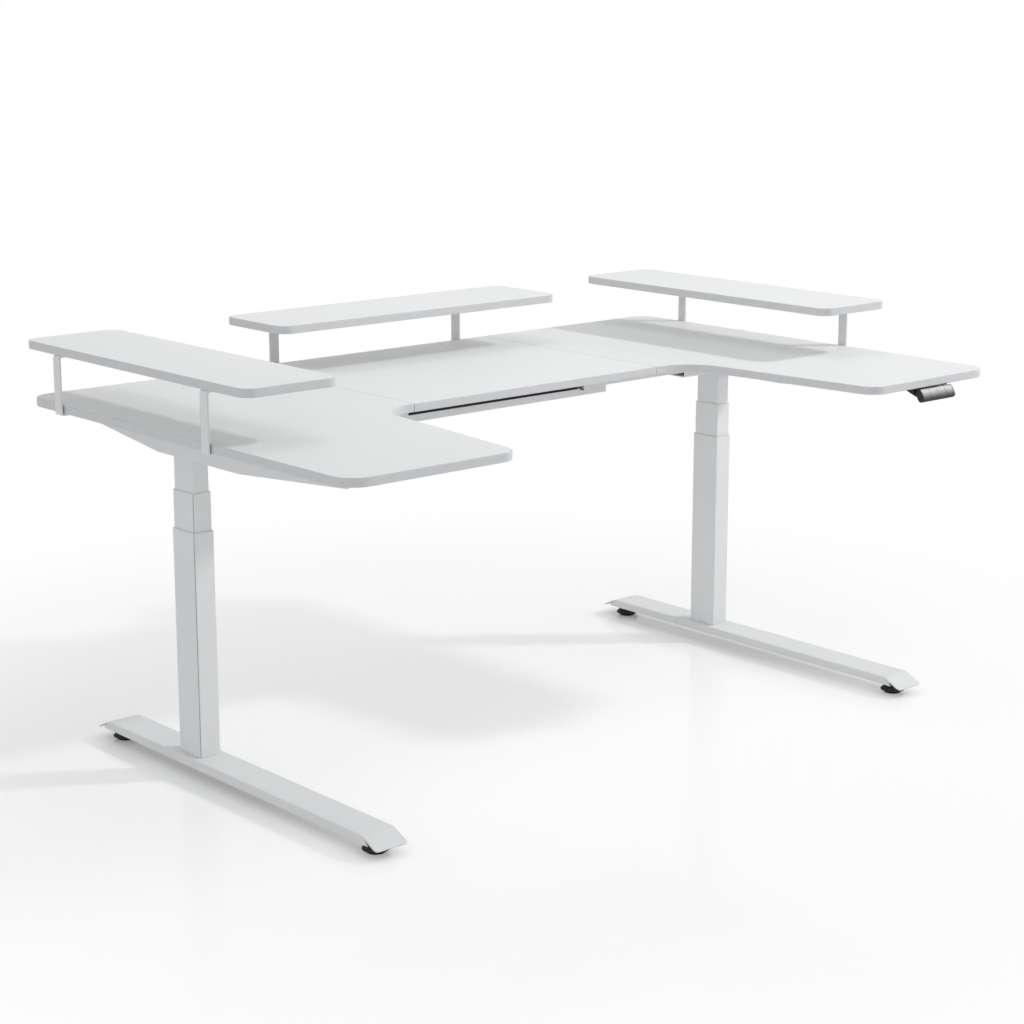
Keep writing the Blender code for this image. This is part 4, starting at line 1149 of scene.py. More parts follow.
@dataclass
class ShelfSet:
    """The three raised shelves, and the folded bars that carry them."""

    desk_top: DeskTop
    layout: Layout = LAYOUT
    length: float = 0.816
    depth: float = 0.224
    thickness: float = 0.018
    top: float = 0.893
    corner: float = 0.030
    overhang: float = 0.005
    side_centre: float = 0.409
    bar_width: float = 0.025
    bar: float = 0.004
    bar_gap: float = 0.003
    bends: Flat = (0.0012, 0.0030)
    bend_steps: int = 10
    pitch: float = 0.544
    upper_flange: Flat = (0.100, 0.050)
    lower_flange: Flat = (0.050, 0.022)
    edge_round: float = 0.0005

    def brackets(self) -> list[tuple[str, Flat, Flat]]:
        """Return each bracket's name, place on the desk's edge and inward direction."""
        plan, half = self.layout, self.pitch / 2
        side_y = plan.back - self.side_centre
        return [
            ("left_rear", (-plan.half_width, side_y + half), (1, 0)),
            ("left_front", (-plan.half_width, side_y - half), (1, 0)),
            ("back_left", (-half, plan.back), (0, -1)),
            ("back_right", (half, plan.back), (0, -1)),
            ("right_rear", (plan.half_width, side_y + half), (-1, 0)),
            ("right_front", (plan.half_width, side_y - half), (-1, 0)),
        ]

    def screw_seats(self, place: Flat, inward: Flat, flange: Flat,
                    height: float) -> list[Vector]:
        """Return where the two screws of a flange are seated.

        Args:
            place: the bracket's place on the desk's edge.
            inward: the inward direction.
            flange: reach of the flange and pitch of its screws.
            height: height of the flange's lower face.

        Returns:
            The two points.
        """
        middle = (flange[0] + self.bar) / 2 - self.bar_gap - self.bar
        shifts = (middle - flange[1] / 2, middle + flange[1] / 2)
        return raised([(place[0] + inward[0] * s, place[1] + inward[1] * s)
                       for s in shifts], height)

    def bracket(self, name: str, place: Flat, inward: Flat) -> None:
        """Make one folded bar with its four screws.

        Args:
            name: the bracket's name, without what all share.
            place: its place on the desk's edge.
            inward: the inward direction.
        """
        low = self.layout.flange_top - self.bar
        high = self.top - self.thickness - self.layout.seat
        path = [(self.lower_flange[0], low), (0.0, low), (0.0, high),
                (self.upper_flange[0], high)]
        along_x = inward[0] != 0
        direction = inward[0] + inward[1]
        origin, across = place if along_x else place[::-1]
        proud = self.bar_gap + self.bar
        outline = [(origin + direction * (u - proud), v)
                   for u, v in folded(path, self.bar, self.bends, self.bend_steps)]
        half = self.bar_width / 2
        form = Form().prism(outline, Axis.Y if along_x else Axis.X, across - half,
                            across + half)
        form.round_edges(self.edge_round, 3)
        seats = self.screw_seats(place, inward, self.lower_flange, low)
        seats += self.screw_seats(place, inward, self.upper_flange, high - self.bar)
        Fasteners.WOOD_SCREW.drive(form, seats, 1)
        form.stand_in("shelf_bracket_" + name, [Looks.STEEL, Looks.ZINC])

    def build(self) -> None:
        """Make the shelves and their brackets."""
        plan = self.layout
        side_x = plan.half_width + self.overhang - self.depth / 2
        side_y = plan.back - self.side_centre
        back_y = plan.back + self.overhang - self.depth / 2
        places = {"left": ((-side_x, side_y), (self.depth, self.length)),
                  "back": ((0.0, back_y), (self.length, self.depth)),
                  "right": ((side_x, side_y), (self.depth, self.length))}
        for key, (centre, size) in places.items():
            outline = shifted(centred(*size, self.corner, self.desk_top.arc_steps), *centre)
            self.desk_top.board("shelf_" + key, outline, self.top - self.thickness, self.top)
        for bracket in self.brackets():
            self.bracket(*bracket)


# The lifting frame


@dataclass
class TopFrame:
    """The steel under the boards: crossbar, rails, motor housings and side brackets."""

    layout: Layout = LAYOUT
    sheet: float = 0.002
    bend: float = 0.001
    crossbar_length: float = 0.730
    crossbar_drop: float = 0.0648
    lip: float = 0.012
    notch: Flat = (-0.230, 0.293)
    notch_drop: float = 0.0482
    notch_corner: float = 0.002
    notch_steps: int = 6
    lip_screws: float = 0.270
    lip_screw_inset: float = 0.011
    rail_drop: float = 0.0492
    rail_in_crossbar: float = 0.050
    rail_in_housing: float = 0.036
    housing_reach: float = 0.142
    bracket_sheet: float = 0.003
    bracket_out: float = 0.024
    bracket_flange: float = 0.050
    bracket_drop: float = 0.072
    bracket_end: float = 0.043
    bracket_back: float = 0.075
    bracket_front: float = 0.164
    bracket_level: Flat = (0.084, 0.208)
    bracket_corner: float = 0.030
    bracket_tip: float = 0.003
    screw_inset: float = 0.035
    screw_offset: float = 0.110
    edge_round: float = 0.0003

    def channel(self, width: float, bottom: float, top: float) -> Outline:
        """Draw a channel that is open on top, at the columns' Y.

        Args:
            width: its outer width.
            bottom: height of its underside.
            top: height of its walls' upper edges.

        Returns:
            Its section.
        """
        half = width / 2
        path = [(-half, top), (-half, bottom), (half, bottom), (half, top)]
        return shifted(folded(path, self.sheet, [self.bend]), self.layout.column_y)

    def rail_bolts(self, side: Side) -> list[Vector]:
        """Return where a rail is bolted, in its housing and in the crossbar."""
        plan = self.layout
        housing = plan.column_x - self.housing_reach + self.rail_in_housing / 2
        crossbar = self.crossbar_length / 2 - self.rail_in_crossbar / 2
        y = plan.column_y + plan.head_width / 2
        z = plan.underside - self.rail_drop / 2
        return [Vector((side.value * x, y, z)) for x in (housing, crossbar)]

    def crossbar(self) -> None:
        """Make the lipped crossbar with its notch, its screws and its bolts."""
        plan = self.layout
        half, top = plan.head_width / 2, plan.flange_top
        bottom = plan.underside - self.crossbar_drop
        lip = half - self.lip
        path = [(-lip, top), (-half, top), (-half, bottom), (half, bottom), (half, top),
                (lip, top)]
        section = shifted(folded(path, self.sheet, [self.bend]), plan.column_y)
        reach = self.crossbar_length / 2
        form = Form().prism(section, Axis.X, -reach, reach)
        front = plan.column_y - half
        edge = plan.underside - self.notch_drop
        corners = [(self.notch[0], edge), (self.notch[1], edge),
                   (self.notch[1], plan.underside), (self.notch[0], plan.underside)]
        radii = [self.notch_corner, self.notch_corner, 0.0, 0.0]
        opening = rounded(corners, radii, self.notch_steps)
        form.cut(Form().prism(opening, Axis.Y, front - self.sheet,
                              front + self.lip + self.sheet))
        form.round_edges(self.edge_round)
        middle = half - (self.lip + self.sheet) / 2
        spots = [(x, plan.column_y + middle) for x in (-self.lip_screws, 0.0, self.lip_screws)]
        spots += [(self.notch[0] - self.lip_screw_inset, plan.column_y - middle),
                  (self.notch[1] + self.lip_screw_inset, plan.column_y - middle)]
        Fasteners.WOOD_SCREW.drive(form, raised(spots, top - self.sheet), 1)
        bolts = [self.rail_bolts(side)[1] for side in Side]
        Fasteners.RAIL_BOLT.drive(form, bolts, 1, TO_REAR)
        form.stand_in("crossbar", [Looks.STEEL, Looks.ZINC])

    def housing(self, side: Side) -> None:
        """Make a motor housing with its bolt."""
        plan = self.layout
        top = plan.flange_top - self.bracket_sheet - plan.seat
        outer = plan.column_x + self.bracket_out - self.bracket_sheet - plan.seat
        inner = plan.column_x - self.housing_reach
        section = self.channel(plan.head_width, plan.head_bottom, top)
        form = Form().prism(section, Axis.X, side.value * inner, side.value * outer)
        form.round_edges(self.edge_round)
        Fasteners.RAIL_BOLT.drive(form, self.rail_bolts(side)[:1], 1, TO_REAR)
        form.stand_in("motor_housing_" + side.label, [Looks.STEEL, Looks.ZINC])

    def rail(self, side: Side) -> None:
        """Make the rail between a housing and the crossbar."""
        plan = self.layout
        width = plan.head_width - 2 * self.sheet - 2 * plan.seat
        top = plan.flange_top - self.sheet - self.bend - plan.seat
        section = self.channel(width, plan.underside - self.rail_drop, top)
        outer = plan.column_x - self.housing_reach + self.rail_in_housing
        inner = self.crossbar_length / 2 - self.rail_in_crossbar
        form = Form().prism(section, Axis.X, side.value * inner, side.value * outer)
        form.round_edges(self.edge_round)
        form.stand_in("side_rail_" + side.label, [Looks.STEEL])

    def side_bracket(self, side: Side) -> None:
        """Make the long tapered bracket under a wing, with its screws."""
        plan = self.layout
        out = side.value * (plan.column_x + self.bracket_out)
        inner = out - side.value * self.bracket_flange
        path = [(out, plan.underside - self.bracket_drop), (out, plan.flange_top),
                (inner, plan.flange_top)]
        back = plan.back - self.bracket_back
        front = plan.front + self.bracket_front
        section = folded(path, self.bracket_sheet, [self.bend])
        form = Form().prism(section, Axis.Y, front, back)
        deep = plan.underside - self.bracket_drop
        shallow = plan.underside - self.bracket_end
        level = (plan.column_y + self.bracket_level[0], plan.column_y - self.bracket_level[1])
        corners = [(front, shallow), (level[1], deep), (level[0], deep), (back, shallow),
                   (back, plan.underside), (front, plan.underside)]
        radii = [self.bracket_tip, self.bracket_corner, self.bracket_corner,
                 self.bracket_tip, 0.0, 0.0]
        reach = sorted((out + side.value * self.sheet, inner - side.value * self.sheet))
        form.keep(Form().prism(rounded(corners, radii), Axis.X, *reach))
        form.round_edges(self.edge_round)
        x = out - side.value * self.bracket_flange / 2
        ys = (back - self.screw_inset, plan.column_y + self.screw_offset,
              plan.column_y - self.screw_offset, front + self.screw_inset)
        seats = raised([(x, y) for y in ys], plan.flange_top - self.bracket_sheet)
        Fasteners.WOOD_SCREW.drive(form, seats, 1)
        form.stand_in("side_bracket_" + side.label, [Looks.STEEL, Looks.ZINC])

    def build(self) -> None:
        """Make all the steel under the boards."""
        self.crossbar()
        for side in Side:
            self.housing(side)
            self.rail(side)
            self.side_bracket(side)


@dataclass
class Column:
    """One leg's three nested tubes, with the glides between them."""

    side: Side
    layout: Layout = LAYOUT
    outer: Flat = (0.050, 0.080)
    wall: float = 0.0015
    stage_gap: float = 0.0010
    corner: float = 0.0040
    corner_steps: int = 10
    glide: float = 0.0008
    glide_drop: float = 0.0010
    glide_height: float = 0.014
    rim_round: float = 0.00035
    base_plate: float = 0.005
    plate_lap: float = 0.0001
    # Faces whose normal leans at least this far towards both X and Y take the painted shade
    # line.
    shade_line_from: float = 0.62

    def on_corner_line(self, face: bmesh.types.BMFace) -> bool:
        """Tell whether a face lies in the middle of a rounded upright corner, where a line of
        painted shade goes.
        """
        return min(abs(face.normal.x), abs(face.normal.y)) > self.shade_line_from

    def section(self, stage: int, inset: float = 0.0) -> Outline:
        """Draw a tube's section.

        Args:
            stage: 0 for the lowest tube, 2 for the highest.
            inset: how far it is drawn in.

        Returns:
            The outline at the column's place.
        """
        step = 2 * stage * (self.wall + self.stage_gap) + 2 * inset
        radius = max(self.corner - inset, self.corner / 4)
        outline = centred(self.outer[0] - step, self.outer[1] - step, radius,
                          self.corner_steps)
        return shifted(outline, self.side.value * self.layout.column_x, self.layout.column_y)

    def tube(self, node: str, body: str, stage: int) -> None:
        """Make one tube.

        Args:
            node: the CAD node that it replaces.
            body: the body that it rides on.
            stage: 0 for the lowest tube.
        """
        low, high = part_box(node)
        form = Form().ring(self.section(stage), self.section(stage, self.wall), low.z, high.z)
        form.round_edges(self.rim_round)
        if stage == 0:
            plate = self.section(0, self.wall - self.plate_lap)
            form.prism(plate, Axis.Z, low.z, low.z + self.base_plate)
        # Painted shade: a dark line down the middle of the corners of the left column's lower
        # two tubes.
        if self.side is Side.LEFT and stage < 2:
            form.paint(self.on_corner_line, 1)
        form.stand_in(node, [Looks.STEEL, Looks.CORNER_LINE], body, sharp=50.0)

    def glides(self, stage: int, body: str, rim: float) -> None:
        """Make the nylon glide between a tube and the one inside it.

        Args:
            stage: the outer tube's stage.
            body: the outer tube's body.
            rim: height of the outer tube's upper end.
        """
        play = (self.stage_gap - self.glide) / 2
        outer = self.section(stage, self.wall + play)
        inner = self.section(stage, self.wall + play + self.glide)
        top = rim - self.glide_drop
        form = Form().ring(outer, inner, top - self.glide_height, top)
        form.piece(f"glide_{stage + 1}_{self.side.label}", [Looks.NYLON], body, sharp=50.0)

    def build(self) -> None:
        """Make the tubes and the glides."""
        label = self.side.label
        stages = [("outer_tube_" + label, "base_" + label),
                  ("middle_tube_" + label, "mid_" + label),
                  ("inner_tube_" + label, "top")]
        for stage, (node, body) in enumerate(stages):
            self.tube(node, body, stage)
            if stage < 2:
                self.glides(stage, body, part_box(node)[1].z)


@dataclass
class Foot:
    """One long foot with its bolts and its two levelling pads."""

    side: Side
    layout: Layout = LAYOUT
    width: float = 0.080
    top: float = 0.045
    back_inset: float = 0.093
    flat: float = 0.913
    flap_reach: float = 0.044
    flap_angle: float = math.radians(26)
    wall_foot: float = 0.0268
    wall_reach: tuple[float, float] = (0.002, 0.017)
    crease: float = 0.008
    sheet: float = 0.0025
    fold: float = 0.0030
    tip_corner: float = 0.010
    bolt_pitch: Flat = (0.028, 0.056)
    bore_steps: int = 32
    boss_radius: float = 0.008
    boss_height: float = 0.017
    boss_edge: float = 0.0006
    boss_flare: Flat = (0.0015, 0.001)
    rim_round: float = 0.0004
    pad_inset: float = 0.008
    pad_radius: float = 0.0275
    pad_steps: int = 72
    pad_height: float = 0.015
    sole: float = 0.0045
    stud: float = 0.0040
    stud_steps: int = 24
    thread_pitch: float = 0.00125
    thread_depth: float = 0.0006
    thread_start: float = 0.0006
    thread_end: float = 0.0008
    thread_share: float = 0.45
    stud_sunk: float = 0.0002
    stud_chamfer: Flat = (0.0008, 0.0005)
    stud_top: float = 0.0405
    grips: int = 36
    grip_depth: float = 0.0007
    grip_round: float = 0.0005
    grip_span: Flat = (0.0020, 0.006)
    skirt: tuple[Flat, ...] = ((0.0045, 0.0), (0.0022, 0.0010), (0.0012, 0.0022))
    crown: tuple[Flat, ...] = ((0.0010, 0.0062), (0.0012, 0.0050), (0.0045, 0.0018),
                               (0.0100, 0.0005), (0.0165, 0.0003), (0.0180, 0.0))
    sole_inset: float = 0.0085
    sole_edge: tuple[Flat, ...] = ((0.0016, 0.0), (0.0005, 0.0004), (0.0, 0.0013))

    def ends(self) -> Flat:
        """Return the Y of the flat top's back and front ends."""
        back = self.layout.back - self.back_inset
        return back, back - self.flat

    def underside(self, beyond: float) -> float:
        """Return the height of a flap's lower face.

        Args:
            beyond: distance from the crease.

        Returns:
            The height.
        """
        return (self.top - self.sheet / math.cos(self.flap_angle)
                - beyond * math.tan(self.flap_angle))

    def channel(self) -> Form:
        """Return the folded channel, whose flaps reach past the ends of its walls."""
        back, front = self.ends()
        x = self.side.value * self.layout.column_x
        half, reach = self.width / 2, self.flap_reach
        tip = self.top - reach * math.tan(self.flap_angle)
        lean = self.sheet * math.sin(self.flap_angle)
        low = tip - self.sheet * math.cos(self.flap_angle)
        view = [(front - reach + lean, low), (back + reach - lean, low),
                (back + reach, tip), (back, self.top), (front, self.top),
                (front - reach, tip)]
        form = Form().prism(view, Axis.X, x - half, x + half)

        def is_crease(edge: bmesh.types.BMEdge) -> bool:
            """Tell whether an edge lies across the foot where a flap begins."""
            return all(face.normal.z > FACING for face in edge.link_faces)

        def is_fold(edge: bmesh.types.BMEdge) -> bool:
            """Tell whether an edge is a long fold at the top or along a flap."""
            normals = [face.normal for face in edge.link_faces]
            return (any(normal.z > FACING for normal in normals)
                    and any(abs(normal.x) > FACING for normal in normals))

        form.round_edges(self.crease, 4, is_crease, sharper=10.0)
        form.round_edges(self.fold, 5, is_fold)
        plan = rectangle((x - half, front - reach), (x + half, back + reach),
                         self.tip_corner, 10)
        form.keep(Form().prism(plan, Axis.Z, 0.0, 2 * self.top))
        inside = self.top - self.sheet
        deep = reach + 0.5 * self.sheet
        low_reach = (self.underside(0.0) - low) / math.tan(self.flap_angle)
        high_reach = (self.underside(0.0) - inside) / math.tan(self.flap_angle)
        cavity = [(front - low_reach, low), (back + low_reach, low),
                  (back + high_reach, inside), (front - high_reach, inside)]
        form.cut(Form().prism(cavity, Axis.X, x - half + self.sheet, x + half - self.sheet))
        start, end = self.wall_reach
        below = [(back + deep, self.underside(deep)), (back + start, self.underside(start)),
                 (back + end, self.wall_foot), (front - end, self.wall_foot),
                 (front - start, self.underside(start)), (front - deep, self.underside(deep)),
                 (front - deep, 0.0), (back + deep, 0.0)]
        form.cut(Form().prism(below, Axis.X, x - 2 * half, x + 2 * half))
        form.round_edges(self.rim_round, sharper=60.0)
        return form

    def build_foot(self) -> None:
        """Make the foot with the bosses for its pads and the bolts of its column."""
        back, front = self.ends()
        x = self.side.value * self.layout.column_x
        form = self.channel()
        high = self.top - self.sheet
        bore, boss, low = self.stud + self.layout.seat, self.boss_radius, high - self.boss_height
        profile = [(bore, low), (boss - self.boss_edge, low), (boss, low + self.boss_edge),
                   (boss, high - self.boss_flare[1]), (boss + self.boss_flare[0], high),
                   (bore, high)]
        for y in (back - self.pad_inset, front + self.pad_inset):
            form.lathe(profile, self.bore_steps, (x, y), hollow=True)
        spots = shifted(centred(*self.bolt_pitch), x, self.layout.column_y)
        Fasteners.FOOT_BOLT.drive(form, raised(spots, high), 1)
        form.stand_in("foot_" + self.side.label, [Looks.STEEL, Looks.ZINC],
                   "base_" + self.side.label)

    def build_pad(self, end: str, y: float) -> None:
        """Make a levelling pad: a gripped body, a rubber sole and a threaded stud.

        Args:
            end: rear or front.
            y: place of its axis.
        """
        spot = (self.side.value * self.layout.column_x, y)
        name = f"levelling_pad_{self.side.label}_{end}"
        body = f"pad_{self.side.label}_{end}"
        top, radius = self.pad_height, self.pad_radius
        grips = []
        for step in range(self.grips * 4):
            reach = radius - (self.grip_depth if step % 4 == 0 else 0.0)
            angle = 2 * math.pi * step / (self.grips * 4)
            grips.append((reach * math.cos(angle), reach * math.sin(angle)))
        form = Form().prism(shifted(grips, *spot), Axis.Z, self.sole + self.grip_span[0],
                            top - self.grip_span[1])
        form.round_edges(self.grip_round, sharper=70.0)
        skirt = [(radius - inset, self.sole + rise) for inset, rise in self.skirt]
        form.lathe(closed(skirt), self.pad_steps, spot)
        crown = [(radius - inset, top - drop) for inset, drop in self.crown]
        form.lathe(closed(crown), self.pad_steps, spot)
        form.stand_in(name, [Looks.BLACK], body, sharp=30.0)

        rim = radius - self.sole_inset
        sole = [(rim - inset, rise) for inset, rise in self.sole_edge]
        sole.append((rim, self.sole))
        form = Form().lathe(closed(sole), self.pad_steps, spot)
        form.piece(name + "_sole", [Looks.RUBBER], body)
        form = Form().lathe(self.thread(), self.stud_steps, spot)
        form.piece(name + "_stud", [Looks.ZINC], body)

    def thread(self) -> Outline:
        """Return the profile of a pad's threaded stud, with a chamfer at its top."""
        root, tip = self.stud - self.thread_depth, self.stud_top
        profile = [(self.stud, self.pad_height - self.stud_sunk)]
        height = self.pad_height + self.thread_start
        flank = self.thread_share * self.thread_pitch
        while height + self.thread_pitch < tip - self.thread_end:
            profile += [(self.stud, height), (root, height + flank)]
            height += self.thread_pitch
        profile += [(root, tip - self.stud_chamfer[1]), (root - self.stud_chamfer[0], tip)]
        return closed(profile)

    def build(self) -> None:
        """Make the foot and its pads."""
        back, front = self.ends()
        self.build_foot()
        self.build_pad("rear", back - self.pad_inset)
        self.build_pad("front", front + self.pad_inset)


# Electrics


@dataclass
class ControlUnit:
    """The control box in the crossbar, with its inlet, and the hook beside it."""

    corner: float = 0.003
    edge_round: float = 0.0006
    groove_drop: float = 0.012
    groove: float = 0.0004
    lid: float = 0.0016
    rib_pitch: float = 0.0060
    rib_count: int = 22
    slot_inset: float = 0.014
    slot_width: float = 0.0022
    slot_corner: float = 0.001
    screw_inset: Flat = (0.008, 0.007)
    screw_sunk: float = 0.0011
    inlet: Flat = (0.024, 0.016)
    inlet_depth: float = 0.014
    inlet_chamfer: float = 0.0035
    pin_spots: tuple[Flat, ...] = ((-0.007, -0.002), (0.0, 0.002), (0.007, -0.002))
    pin: Flat = (0.002, 0.004)
    pin_root: float = 0.001
    pin_sunk: float = 0.003
    pin_round: float = 0.0003
    clip_sheet: float = 0.0016
    clip_lip: float = 0.0034
    clip_width: float = 0.0036
    clip_round: float = 0.0002

    def block(self, low: Vector, high: Vector) -> Form:
        """Return the block between two corners, with its upright edges rounded."""
        plan = rectangle((low.x, low.y), (high.x, high.y), self.corner)
        return Form().prism(plan, Axis.Z, low.z, high.z)

    def case(self) -> None:
        """Make the box: two shells with a parting line, ribs and case screws."""
        low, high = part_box("control_box")
        form = self.block(low, high)
        line, level = self.groove, high.z - self.groove_drop
        band = Form().prism(rectangle((low.x - line, low.y - line),
                                      (high.x + line, high.y + line)),
                            Axis.Z, level - line, level + line)
        core = Form().prism(rectangle((low.x + line, low.y + line),
                                      (high.x - line, high.y - line), self.corner),
                            Axis.Z, level - 2 * line, level + 2 * line)
        form.cut(band.cut(core))
        form.round_edges(self.edge_round)
        start = (low.x + high.x - self.rib_count * self.rib_pitch) / 2
        for index in range(self.rib_count):
            x = start + index * self.rib_pitch
            slot = rectangle((x, low.y + self.slot_inset),
                             (x + self.slot_width, high.y - self.slot_inset),
                             self.slot_corner, 4)
            form.cut(Form().prism(slot, Axis.Z, high.z - self.lid, high.z + self.lid))
        along, across = self.screw_inset
        corners = rectangle((low.x + along, low.y + across),
                            (high.x - along, high.y - across))
        flip = Matrix.Rotation(math.pi, 4, "X")
        seats = raised(corners, high.z - self.screw_sunk)
        Fasteners.CASE_SCREW.drive(form, seats, 1, flip)
        form.stand_in("control_box", [Looks.BLACK, Looks.ZINC])

    def cap(self) -> None:
        """Make the end cap with the mains inlet and its three pins."""
        low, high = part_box("control_box_cap")
        form = self.block(low, high)
        form.round_edges(self.edge_round)
        middle = ((low.y + high.y) / 2, (low.z + high.z) / 2)
        floor = high.x - self.inlet_depth
        half, tall, cut = self.inlet[0] / 2, self.inlet[1] / 2, self.inlet_chamfer
        mouth = [(-half, -tall), (half, -tall), (half, tall - cut), (half - cut, tall),
                 (cut - half, tall), (-half, tall - cut)]
        form.cut(Form().prism(shifted(mouth, *middle), Axis.X, floor,
                              high.x + self.inlet_depth))
        form.stand_in("control_box_cap", [Looks.BLACK])
        pins = Form()
        for spot in shifted(list(self.pin_spots), *middle):
            pins.prism(shifted(centred(*self.pin), *spot), Axis.X, floor - self.pin_root,
                       high.x - self.pin_sunk)
        pins.round_edges(self.pin_round)
        pins.piece("inlet_pins", [Looks.ZINC])

    def clip(self) -> None:
        """Make the small black hook that hangs on the notch's edge."""
        low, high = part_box("box_clip")
        sheet = self.clip_sheet
        hook = [(low.x, high.z), (low.x, low.z), (high.x, low.z),
                (high.x, low.z + self.clip_lip)]
        form = Form().prism(folded(hook, sheet, [sheet * 0.8], 8), Axis.Y, low.y,
                            low.y + sheet)
        saddle = [(low.y, high.z - 2 * sheet), (low.y, high.z), (high.y, high.z),
                  (high.y, low.z)]
        form.join(Form().prism(folded(saddle, sheet, [sheet / 4]), Axis.X, low.x,
                               low.x + self.clip_width))
        form.round_edges(self.clip_round)
        form.stand_in("box_clip", [Looks.BLACK])

    def build(self) -> None:
        """Make the box, its cap and the hook."""
        self.case()
        self.cap()
        self.clip()


@dataclass
class Handset:
    """The tilted handset, its four buttons and its mount under the right wing."""

    layout: Layout = LAYOUT
    inset: float = 0.1965
    reach: float = 0.0158
    tilt: float = math.radians(32)
    length: float = 0.113
    height: float = 0.030
    thickness: float = 0.014
    rear_depth: float = 0.0105
    shell_round: float = 0.0028
    cap: float = 0.003
    count: int = 4
    gap: float = 0.0006
    button_height: float = 0.0256
    button_depth: float = 0.0036
    button_side: float = 0.0002
    button_round: float = 0.0005
    travel: float = 0.0010
    play: float = 0.0006
    plate: float = 0.0024
    plate_size: Flat = (0.122, 0.072)
    plate_shift: float = -0.0135
    plate_corner: float = 0.004
    plate_round: float = 0.0004
    neck: Flat = (0.086, 0.039)
    neck_rise: float = 0.0025
    screw_spread: float = 0.102
    arc_steps: int = 40
    fullness: float = 3.0

    def centre(self) -> Vector:
        """Return the middle of the handset."""
        radius = self.thickness / 2
        straight = self.height / 2 - radius
        plan = self.layout
        top = plan.flange_top - self.plate - plan.seat
        return Vector((plan.half_width - self.inset,
                       plan.front - self.reach + radius + straight * math.sin(self.tilt),
                       top - radius - straight * math.cos(self.tilt)))

    def turned(self) -> Matrix:
        """Return where the handset's own axes lie: Z out of its face, Y up along it."""
        turn = Matrix.Rotation(math.pi / 2 - self.tilt, 4, "X")
        return Matrix.Translation(self.centre()) @ turn

    def crown(self, across: float) -> float:
        """Return how far the handset's face stands out from its middle.

        Args:
            across: distance from the middle, along the handset's height.

        Returns:
            The distance.
        """
        share = 1.0 - (2 * abs(across) / self.height) ** self.fullness
        return self.thickness / 2 * max(share, 0.0) ** (1 / self.fullness)

    def section(self) -> Outline:
        """Draw the handset's section, a full oval, as (Y, Z) points."""
        reach = self.height / 2
        turns = [math.pi * step / self.arc_steps for step in range(self.arc_steps)]
        front = [(reach * math.cos(a), self.crown(reach * math.cos(a))) for a in turns]
        deeper = 2 * self.rear_depth / self.thickness
        return front + [(-u, -v * deeper) for u, v in front]

    def body(self) -> None:
        """Make the handset's shell with its pocket."""
        half = self.length / 2
        form = Form().prism(self.section(), Axis.X, -half, half)
        form.round_edges(self.shell_round, 5, sharper=60.0)
        pocket_half = (self.button_height + self.gap) / 2
        floor = self.thickness / 2 - self.button_depth - self.travel - self.play
        opening = rectangle((-pocket_half, floor), (pocket_half, self.thickness))
        form.cut(Form().prism(opening, Axis.X, -half + self.cap, half - self.cap))
        form.move(self.turned())
        form.stand_in("handset_body", [Looks.BLACK])

    def buttons(self) -> None:
        """Make the four buttons, each crowned like the shell."""
        low = -self.length / 2 + self.cap
        pitch = (self.length - 2 * self.cap - self.gap) / self.count
        reach = self.button_height / 2
        back = self.thickness / 2 - self.button_depth
        steps = [reach * (2 * step / self.arc_steps - 1) for step in range(self.arc_steps + 1)]
        face = [(u, max(self.crown(u), back + self.button_side)) for u in steps]
        outline = [*face, (reach, back), (-reach, back)]
        for index in range(self.count):
            start = low + self.gap + index * pitch
            form = Form().prism(outline, Axis.X, start, start + pitch - self.gap)
            form.round_edges(self.button_round, 3, sharper=50.0)
            form.move(self.turned())
            form.stand_in(f"handset_button_{index + 1}", [Looks.BUTTON], f"button_{index + 1}")

    def mount(self) -> None:
        """Make the plate under the board with the neck that carries the handset."""
        plan, centre = self.layout, self.centre()
        x = centre.x + self.plate_shift
        bottom = plan.flange_top - self.plate
        half = self.plate_size[0] / 2
        plate = rectangle((x - half, plan.front + self.plate / 2),
                          (x + half, plan.front + self.plate_size[1]), self.plate_corner)
        form = Form().prism(plate, Axis.Z, bottom, plan.flange_top)
        normal = Vector((-math.cos(self.tilt), math.sin(self.tilt)))
        upward = Vector((math.sin(self.tilt), math.cos(self.tilt)))
        back = Vector((centre.y, centre.z)) - normal * (self.rear_depth + plan.seat)
        low = back + upward * self.neck_rise
        rear, middle = plan.front + self.neck[1], bottom + self.plate / 2
        high = back + upward * (middle - back.y) / upward.y
        neck = [(rear, middle), (rear, bottom - 2 * self.plate), (low.x, low.y),
                (high.x, high.y)]
        form.join(Form().prism(neck, Axis.X, x - self.neck[0] / 2, x + self.neck[0] / 2))
        form.round_edges(self.plate_round, sharper=50.0)
        y, spread = plan.front + (self.plate_size[1] + self.neck[1]) / 2, self.screw_spread / 2
        Fasteners.WOOD_SCREW.drive(form, raised([(x - spread, y), (x + spread, y)], bottom), 1)
        form.stand_in("handset_mount", [Looks.BLACK, Looks.ZINC])

    def build(self) -> None:
        """Make the shell, the buttons and the mount."""
        self.body()
        self.buttons()
        self.mount()


@dataclass
class LiftingGear:
    """The gear inside the columns and housings, which keeps its CAD form."""

    finishes: dict[str, Finish] = field(default_factory=lambda: {
        "lift_post": Looks.SPINDLE, "lift_sleeve": Looks.SPINDLE, "spindle": Looks.SPINDLE,
        "spindle_nut": Looks.BRASS, "middle_collar": Looks.NYLON,
        "inner_collar": Looks.NYLON, "gearbox": Looks.DRIVE, "motor": Looks.DRIVE})

    def build(self) -> None:
        """Give each carried-over node its finish."""
        for stem, finish in self.finishes.items():
            for side in Side:
                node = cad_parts[f"{stem}_{side.label}"]
                for slot in node.material_slots:
                    slot.material = finish.material()
                log.info("%s: %s", node.name, finish.name)


# Studio


